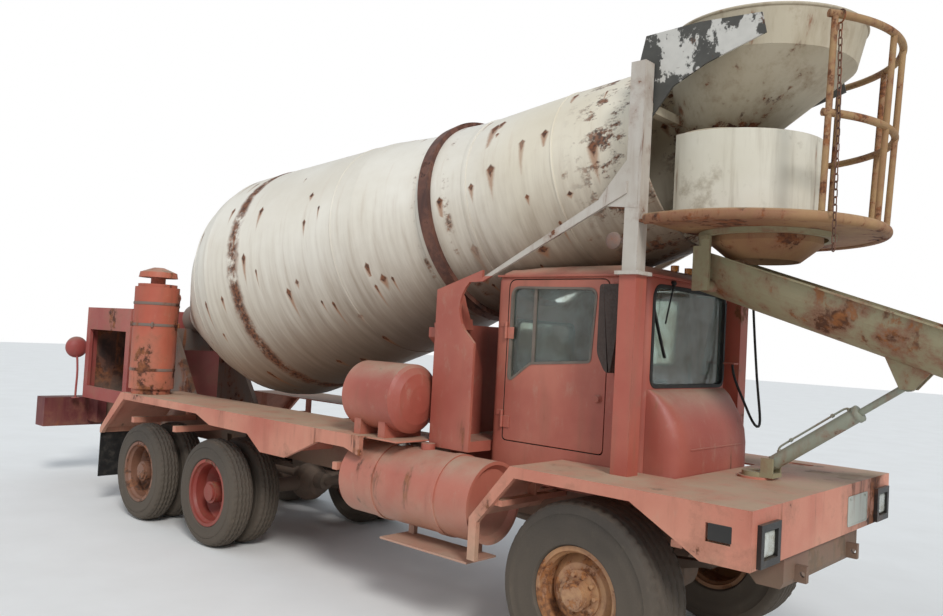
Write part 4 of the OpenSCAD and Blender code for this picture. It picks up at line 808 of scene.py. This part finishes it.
welds = ((-3.10, 1.155, 0.012), (-2.37, 1.1705, 0.014), (-1.05, 1.014, 0.010), (-0.148, 0.847, 0.012),
         (0.37, 0.806, 0.030), (1.20, 0.750, 0.010))
beads = [turned(hoop(r - 0.012, r + 0.001, r + 0.005, w, w * 0.4), ring_place + drum_axis * place,
                drum_axis, 96, True) for place, r, w in welds]
lip = turned([(0.676, 1.888), (0.676, 1.899), (0.687, 1.899), (0.6895, 1.893), (0.687, 1.886)], ring_place,
             drum_axis, 96, True)
piece("drum_seams", beads + [lip], "drum", finish=drum_white)

# The hoppers, tray, posts and chute: concrete washed over them daily, so the paint is
# worn to rust where it slides and pale where it dried.
hopper_beige = painted("hopper_beige", "CAC0AA", "B0A288", scale=2.2, spots=0.63, runs=0.63, stretch=0.1,
                       stain="8C7458", lying=0.3, splash=(0.1, 0.2), mud="A0957A", edges=0.9, gloss=0.7)
tub_white = painted("tub_white", "DDD8C9", "C9C1AC", fade=0.45, scale=2.2, spots=0.68, runs=0.64,
                    stretch=0.08, stain="8C7C62", lying=0.2, splash=(0.1, 0.2), mud="8F8468", edges=0.7,
                    gloss=0.6, stain_share=0.6)
tray_rust = painted("tray_rust", "8A6244", "AE8A60", scale=3.0, spots=0.56, runs=0.6, lying=0.6,
                    splash=(0.1, 0.2), mud="B79A72", edges=0.6, gloss=0.75, rust=("4A2C1E", "8A5230"))
rail_rust = painted("rail_rust", "B39668", "99754E", scale=5.0, spots=0.56, runs=0.6, stretch=0.5,
                    lying=0.2, splash=(0.1, 0.2), mud="B79A72", edges=0.2, gloss=0.7,
                    rust=("5E3822", "95603A"))
chute_rust = painted("chute_rust", "8F8868", "A39A7C", scale=2.0, spots=0.60, runs=0.62, stretch=0.6,
                     lying=0.25, splash=(0.1, 0.2), mud="A39A84", edges=0.9, gloss=0.7,
                     rust=("5A3A28", "9A6238"), stain_share=0.8)
lift_grey = painted("lift_grey", "9AA08E", "8A8C7C", scale=4.0, spots=0.6, runs=0.62, lying=0.4,
                    splash=(0.1, 0.2), mud="A39A84", edges=0.7)
dress(hopper_beige, "charge_hopper")
dress(tub_white, "discharge_tub")
dress(tray_rust, "tray")
dress(rail_rust, "railing")
dress(chute_rust, "swing_frame", "chute_main", "chute_extension")
dress(lift_grey, "lift_barrel", "lift_rod")

# The sheets by the mouth were black and then painted over in haste: what is left of the
# white lies in large torn patches.
cover_grey, shader, where = material("cover_grey")
field = cloud(stretched(where, 1.0, 1.0, 0.8), 2.6, 11, 0.66)
patch = step(plus(field, times(minus(cloud(where, 0.9, 2), 0.5), 0.5)), 0.545, 0.565)
colour = blend(cloud(where, 9, 8), "3A3936", "5C5A54")
colour = blend(patch, colour, blend(cloud(where, 14, 6), "B9B6AE", "D4D0C8"))
flake = step(cloud(where, 6, 9, 0.7), 0.6, 0.64)
colour = blend(flake, colour, "5A3B2A")
surface(shader, colour, 0.8, plus(patch, cloud(where, 40, 4)), 0.4, 0.002)
dress(cover_grey, "mouth_cover")

# The posts: square tube from the deck up to the hopper, sprayed red up to the cap plate
# and white above it.
post_paint, shader, where = material("post_paint")
level = parts(where)["Z"]
eaten = use(corrosion, where, Scale=2.6, Spots=0.6, Runs=0.62, Stretch=0.1)
worn = use(worn_edges, where, Level=0.6)
red = blend(cloud(where, 3, 6), "A0463A", "B86A56")
pale = blend(cloud(where, 3, 6), "CFC9C0", "A89C8C")
colour = blend(calc("GREATER_THAN", level, 2.6402), red, pale)
colour = blend(times(eaten["Stain"], 0.4), colour, "8A6650")
bare = most(eaten["Rust"], worn["Edge"])
colour = blend(bare, colour, blend(eaten["Tone"], "4A2C20", "8C5838"))
surface(shader, colour, step(bare, 0.0, 1.0, 0.5, 0.88), eaten["Pits"])
dress(post_paint, "hopper_posts")

# The tyres: radial casings. The wide front ones carry wavy ribs, the rear ones deep
# blocks. Concrete dust lies in the grooves.
def tyre(centre, radius, width, rim_radius, rim_width, blocks, deep, ribs, wave):
    """One tyre about the y axis. Its section runs from bead to bead and its tread is cut two
    ways: round grooves whose middle moves with a triangle wave of the angle, and cross cuts
    at the shoulders, one a block. A cut's depth fades at its edges."""
    half, seat, mean = width / 2, rim_width / 2, (radius + rim_radius) / 2
    bead = np.array([(-0.037, -0.047), (-0.021, -0.031), (-0.017, -0.017), (0.002, -0.013)])
    flange = np.array([(0.010, -0.010), (0.016, -0.007), (0.021, -0.009)])
    middle_band = [((2 * radius + 3 * rim_radius) / 5, half - 0.002), (mean, half - 0.001),
                   (mean + 0.010, half - 0.0035)]
    shoulder = np.array([(-0.085, -0.008), (-0.080, -0.004), (-0.062, -0.008), (-0.045, -0.012),
                         (-0.026, -0.022)])
    wall = np.vstack([bead + (rim_radius, seat), flange + (rim_radius, half), middle_band,
                      shoulder + (radius, half)])
    y = np.linspace(half - 0.026, 0.026 - half, 47)
    over = np.clip((abs(y) - (half - 0.09)) / 0.064, 0, 1)
    r = radius - 0.001 - 0.022 * over ** 2
    angle = np.arange(240) * 2 * np.pi / 240
    turn = angle[:, None] * blocks / (2 * np.pi)
    triangle = 2 * abs(2 * (turn - np.floor(turn + 0.5))) - 1
    depth = np.zeros((len(angle), len(y)))
    for middle_y in ribs:
        off = abs(y - middle_y * width - wave * width * triangle)
        depth = np.maximum(depth, np.clip(2.2 - off / 0.005, 0, 1))
    pitch = 2 * np.pi * radius / blocks
    place = (turn + 0.5 * (y[None] > 0)) % 1.0
    cut = np.clip(2.2 - abs(place - 0.5) * pitch / 0.007, 0, 1) * (abs(y) > abs(ribs[0]) * width)
    depth = deep * np.maximum(depth, cut) * np.clip(1.3 - over, 0.3, 1)
    rim_side = np.tile(wall[None, :, :], (len(angle), 1, 1))
    tread = np.stack([r - depth, np.tile(y, (len(angle), 1))], -1)
    far_side = rim_side[:, ::-1] * (1, -1)
    line = np.concatenate([rim_side, tread, far_side], 1)
    grid = np.stack([line[..., 0] * np.cos(angle)[:, None], line[..., 1],
                     line[..., 0] * np.sin(angle)[:, None]], -1)
    return skin(grid + np.asarray(centre), True, True)


rubber = painted("tyre_rubber", "24211F", "332F2B", spots=0.8, runs=0.8, splash=(0.2, 1.35), mud="746656",
                 edges=0.0, gloss=0.78, stain="5E5244", stain_share=0.4)
front_ribs, rear_ribs = (-0.31, -0.155, 0.0, 0.155, 0.31), (-0.24, -0.08, 0.08, 0.24)
for node, body in (("front_tyre_right", "wheel_front_r"), ("front_tyre_left", "wheel_front_l")):
    hub = middle(node)
    piece(node + "_tread", [tyre(hub, 0.588, 0.440, 0.306, 0.380, 52, 0.011, front_ribs, 0.012)], body,
          [node], 50, rubber)
for place in ("mid", "back"):
    for side, letter in (("right", "r"), ("left", "l")):
        node = f"tyres_{place}_{side}"
        hub = middle(node)
        pair = [tyre(hub + Vector((0, y, 0)), 0.520, 0.245, 0.323, 0.209, 44, 0.014, rear_ribs, 0.03)
                for y in (-0.15, 0.15)]
        piece(node + "_tread", pair, f"wheel_{place}_{letter}", [node], 50, rubber)

rim_red = painted("rim_red", "8E2A24", "A33B31", spots=0.6, scale=5.0, runs=0.62, lying=0.3,
                  splash=(0.15, 0.8), mud="6F5A4A", edges=0.6)
rim_rust = painted("rim_rust", "6E4434", "875A44", scale=5.0, spots=0.5, lying=0.3, splash=(0.15, 0.8),
                   mud="7A6654", edges=0.6)
rim_tan = painted("rim_tan", "9C6A42", "B78C64", scale=5.0, spots=0.50, runs=0.58, lying=0.3,
                  splash=(0.1, 0.5), mud="8E7258", edges=0.6, rust=("6A4028", "A56C3E"))
dress(rim_red, "rims_mid_right", "rims_mid_left")
dress(rim_rust, "rims_back_right", "rims_back_left")
dress(rim_tan, "front_rim_right", "front_rim_left")

# The smaller pieces: rubber flaps, black lamp boxes with ribbed lenses, the engine's intake
# pipe in the same faded red, and the gearbox behind the drum.
def pillow(centre, half, edge=0.3, crown=0.5, axes=((1, 0, 0), (0, 1, 0), (0, 0, 1)), rows=12, count=32):
    """A closed domed block: its plan is a circle drawn out into a rounded square by the power
    edge, and the plan shrinks to both faces with the cosine of the height to the power crown."""
    lift = np.linspace(-1.5, 1.5, rows)
    a = np.arange(count) * 2 * np.pi / count
    plan = np.stack([np.sign(f) * abs(f) ** edge for f in (np.cos(a), np.sin(a))], -1)
    flat = np.cos(lift)[:, None, None] ** crown * plan * np.array(half[:2])
    high = np.sign(lift) * abs(np.sin(lift)) ** 0.8 * half[2]
    local = np.concatenate([flat, np.broadcast_to(high[:, None, None], (rows, count, 1))], -1)
    return skin(local @ np.array(axes, float) + np.asarray(centre, float))


lamp_black = painted("lamp_black", "1C1B1A", "2E2B28", spots=0.74, runs=0.74, mud="7A6E60", edges=0.3,
                     gloss=0.45)
intake_red = painted("intake_red", "A84E3C", "C8775A", spots=0.62, runs=0.6, lying=0.6, mud="B09A80",
                     gloss=0.55)
drive_grey = painted("drive_grey", "6E625A", "8A7C70", spots=0.56, runs=0.58, lying=0.8, mud="8E8070",
                     gloss=0.7)
dress(lamp_black, "headlamps", "steering_wheel")
dress(intake_red, "air_cleaner")
dress(drive_grey, "drum_drive")
dress(rubber_black, "mud_flaps")


def lens_glass(name, clear, dirty, through, ribs):
    """Moulded glass or plastic: ribbed and glossy, with dirt in blotches."""
    made, shader, where = material(name)
    blot = step(cloud(where, 14, 6), 0.45, 0.7)
    wave = add(home(where), "TexWave", {"bands_direction": "Y"}, Vector=where, Scale=ribs).outputs["Fac"]
    surface(shader, blend(blot, clear, dirty), step(blot, 0.0, 1.0, 0.12, 0.35), wave, 0.5, 0.002)
    feed(shader, Transmission_Weight=through, Coat_Weight=0.6)
    return made


lamp_lens = lens_glass("lamp_lens", "D3D6CB", "A29D86", 0.25, 22)
amber_lens = lens_glass("amber_lens", "D8852A", "9A6228", 0.3, 40)
red_lens = lens_glass("red_lens", "A8231C", "7A2A22", 0.3, 40)
dress(amber_lens, "marker_lamps")
outward = ((0, 1, 0), (0, 0, 1), (1, 0, 0))
lenses = [pillow(at(1.150, s * 1.010, 1.130), (0.090, 0.074, 0.020), 0.25, 0.3, outward) for s in (-1, 1)]
piece("headlamp_lenses", lenses, "chassis", finish=lamp_lens)

# The seat: two padded cushions in cracked black vinyl on a pressed steel stand, seen
# through the glass of the door.
back_lean = ((0, 1, 0), (0.29, 0, 0.957), (0.957, 0, -0.29))
stand = rounded([(-0.93, 1.20), (-0.59, 1.20), (-0.62, 1.55), (-0.90, 1.55)], 0.03)
pan = rounded(corners(-0.955, 1.535, -0.49, 1.565), 0.012)
back = rounded([(-0.945, 1.56), (-0.915, 1.56), (-1.015, 1.97), (-1.045, 1.97)], 0.012)
stand_forms = [slab_form(on_side, outline, -half, half)
               for outline, half in ((stand, 0.17), (pan, 0.22), (back, 0.19))]
piece("seat_stand", stand_forms, "chassis", ["seat"], finish=lamp_black, edges=0.004)
pads = [pillow(at(-0.72, 0, 1.615), (0.235, 0.235, 0.062), 0.3, 0.35),
        pillow(at(-0.945, 0, 1.80), (0.225, 0.185, 0.055), 0.3, 0.35, back_lean)]
cushions = piece("seat_cushions", pads, "chassis", sharp=60)
vinyl, shader, where = material("seat_vinyl")
cracks = add(home(where), "TexVoronoi", {"feature": "DISTANCE_TO_EDGE"}, Vector=where,
             Scale=26.0).outputs["Distance"]
surface(shader, blend(step(cloud(where, 9, 6), 0.4, 0.65), "211E1C", "4A423A"),
        step(cracks, 0.0, 0.2, 0.75, 0.45), step(cracks, 0.0, 0.08), 0.4, 0.002)
cushions.data.materials.append(vinyl)

# The nose's trim: a blank plate with a raised rim, held by two bolts, and a flat black
# marker box let into each side of the deck.
def heads(places, direction, size=0.012, spin=0.3):
    """Bolt heads: a six-sided head on a round washer at each place, facing one way."""
    washer = peg(size * 1.3, 0, size * 0.2)
    head = [(0, size * 0.2), (size * 0.95, size * 0.2), (size, size * 0.3), (size, size * 0.75),
            (size * 0.85, size * 0.9), (0, size * 0.9)]
    return [f for p in places for f in (turned(washer, p, direction, 12),
                                        turned(head, p, direction, 6, spin=spin))]


plate_edge = rounded(corners(0.31, 1.045, 0.71, 1.247), 0.02)
plate_field = rounded(corners(0.318, 1.053, 0.702, 1.239), 0.014)
plate_paint = painted("plate_paint", "CDD3CC", "B9BDB2", spots=0.72, runs=0.68, lying=0.2,
                      splash=(0.9, 1.3), mud="A89A84", gloss=0.4)
plate = [slab_form(on_front, plate_edge, 1.1545, 1.1565),
         frame_form(plate_edge, plate_field, on_front, 1.1560, 1.1590)]
plate += heads([at(1.1564, y, 1.225) for y in (0.36, 0.66)], (1, 0, 0), 0.008)
piece("blank_plate", plate, "chassis", finish=plate_paint)
marker = rounded(corners(0.905, 1.132, 1.045, 1.226), 0.008)
side_box = [slab_form(on_side, marker, s * 1.2100, s * 1.2225) for s in (-1, 1)]
piece("side_marker_boxes", side_box, "chassis", finish=lamp_black, edges=0.003)

# The trim at the rear: bands and latches round the air cleaner's can, clamps on its pipe,
# and a round lamp that stands on a bent stalk beside the grille.
can = at(-6.0, -0.968, 0)
bands = [turned(hoop(0.238, 0.2445, 0.2465, 0.016, 0.006), can + (0, 0, z), (0, 0, 1), 64, True)
         for z in (1.62, 2.12, 2.36)]
latches = [turned([(0, 0), (0.014, 0), (0.014, 0.05), (0.009, 0.056), (0, 0.056)],
                  can + (0.253 * np.cos(a), 0.253 * np.sin(a), 2.095), (0, 0, 1), 12)
           for a in (-1.9, -0.6, 0.9)]
bend = at(-6.020, -0.745, 2.44)
run = at(-6.150, -0.700, 1.98) - bend
run /= np.linalg.norm(run)
clamps = [turned(hoop(0.063, 0.0685, 0.070, 0.011, 0.004), bend + run * s, run, 40, True)
          for s in (0.10, 0.16, 0.30, 0.36)]
piece("intake_bands", bands + latches + clamps, "chassis", finish=drive_grey)
pod = at(-8.455, -0.800, 1.755)
pod_line = [(0, 0.075), (0.060, 0.070), (0.105, 0.050), (0.135, 0.018), (0.142, -0.010), (0.142, -0.030),
            (0.134, -0.034), (0, -0.034)]
stalk = np.array([(-8.40, -0.800, 1.075), (-8.40, -0.800, 1.20), (-8.39, -0.800, 1.40),
                  (-8.41, -0.800, 1.55), (-8.44, -0.800, 1.66)]) + (axle_x, 0, 0)
foot = turned(peg(0.05, 0, 0.008), at(-8.40, -0.80, 1.080), (0, 0, 1), 20)
piece("rear_lamp_pod",
      [turned(pod_line, pod, (1, 0, 0), 40), tube(smooth(stalk), circle(0.014, 12), (0, 1, 0)), foot],
      "chassis", finish=hood_red)
lens_line = [(0, -0.052), (0.06, -0.049), (0.10, -0.042), (0.126, -0.034), (0.126, -0.030), (0, -0.030)]
piece("rear_lamp_lens", [turned(lens_line, pod, (1, 0, 0), 40)], "chassis", finish=red_lens)

# The fuel tank's bright cap, the round disc on the right post, and the lift cylinder's gland
# with the oil pipe that runs along its barrel.
cap_line = [(0, 0), (0.052, 0), (0.052, 0.014), (0.044, 0.018), (0.044, 0.040), (0.048, 0.043),
            (0.048, 0.058), (0.040, 0.064), (0, 0.066)]
bare_steel = painted("bare_steel", "B9B8B2", "9A9992", spots=0.7, runs=0.7, lying=0.3, splash=(0.1, 0.2),
                     mud="8E8474", gloss=0.3)
feed(bare_steel.node_tree.nodes["Principled BSDF"], Metallic=0.85)
piece("tank_cap", [turned(cap_line, at(-1.875, -0.91, 1.280), (0, 0, 1), 32)], "chassis",
      finish=bare_steel)
disc_line = [(0, 0), (0.058, 0), (0.058, 0.010), (0.050, 0.020), (0.030, 0.027), (0, 0.029)]
piece("post_disc", [turned(disc_line, at(-0.035, -0.842, 2.87), (0, -1, 0), 32),
                    box_form((-0.06, -0.843, 2.852), (0.05, -0.837, 2.888))],
      "chassis", finish=drive_grey)
lift_lean = np.radians(35.86)
lift_way = np.array((np.cos(lift_lean), 0, np.sin(lift_lean)))
lift_over = np.array((-np.sin(lift_lean), 0, np.cos(lift_lean)))
lift_foot = at(0.75, 0, 1.43)
pipe_points = ((0.10, 0.046), (0.10, 0.056), (0.115, 0.066), (0.16, 0.070), (0.35, 0.070), (0.58, 0.070),
               (0.625, 0.066), (0.64, 0.056), (0.64, 0.046))
pipe = smooth([lift_foot + lift_way * s + lift_over * h for s, h in pipe_points])
bosses = [turned([(0, 0.040), (0.017, 0.040), (0.017, 0.054), (0.012, 0.058), (0, 0.058)],
                 lift_foot + lift_way * s, lift_over, 6) for s in (0.10, 0.64)]
nuts = [turned(peg(0.012, s, s + 0.018), lift_foot + lift_over * 0.070, lift_way, 6) for s in (0.20, 0.52)]
gland = turned([(0.047, 0.655), (0.054, 0.655), (0.056, 0.660), (0.056, 0.684), (0.052, 0.690),
                (0.030, 0.690), (0.030, 0.686), (0.047, 0.686)], lift_foot, lift_way, 32, True)
piece("lift_oil_pipe", [tube(pipe, circle(0.0065, 10), (0, 1, 0)), gland] + bosses + nuts, "barrel",
      finish=lift_grey)

# The chain: it hangs from a ring on the railing's top hoop, over the lower hoop and past
# the tray's rim. Links stand crosswise in turn.
def ring_link(centre, along, across, length, width, wire):
    """One oval link: an outline of two half circles joined by straight sides, swept round."""
    a = np.arange(20) * 2 * np.pi / 20
    rise = np.sin(a) * width + np.sign(np.sin(a)) * (length - width)
    lay = np.cos(a)[:, None] * width * np.asarray(across, float) + rise[:, None] * np.asarray(along, float)
    return tube(np.asarray(centre, float) + lay, circle(wire, 8), np.cross(along, across), True)


bearing = np.radians(-34.7)
out_way = np.array((np.cos(bearing), np.sin(bearing), 0))
side_way = np.array((-np.sin(bearing), np.cos(bearing), 0))
hub_line = at(0.5, 0, 0)
hoop_z, hoop_r, pitch = 4.2103, 0.945, 0.0455
links = [ring_link(hub_line + out_way * hoop_r + (0, 0, hoop_z - 0.010), (0, 0, 1), out_way, 0.040, 0.0399,
                   0.005)]
for i in range(30):
    z = hoop_z - 0.072 - i * pitch
    reach = hoop_r + 0.013 * min(1.0, i / 11)
    links.append(ring_link(hub_line + out_way * reach + (0, 0, z), (0, 0, 1),
                           side_way if i % 2 == 0 else out_way, 0.0265, 0.0115, 0.0037))
chain_rust = painted("chain_rust", "4A3228", "6A4A38", spots=0.5, lying=0.1, splash=(0.1, 0.2), edges=0.0,
                     gloss=0.7)
piece("railing_chain", links, "chassis", sharp=60, finish=chain_rust)
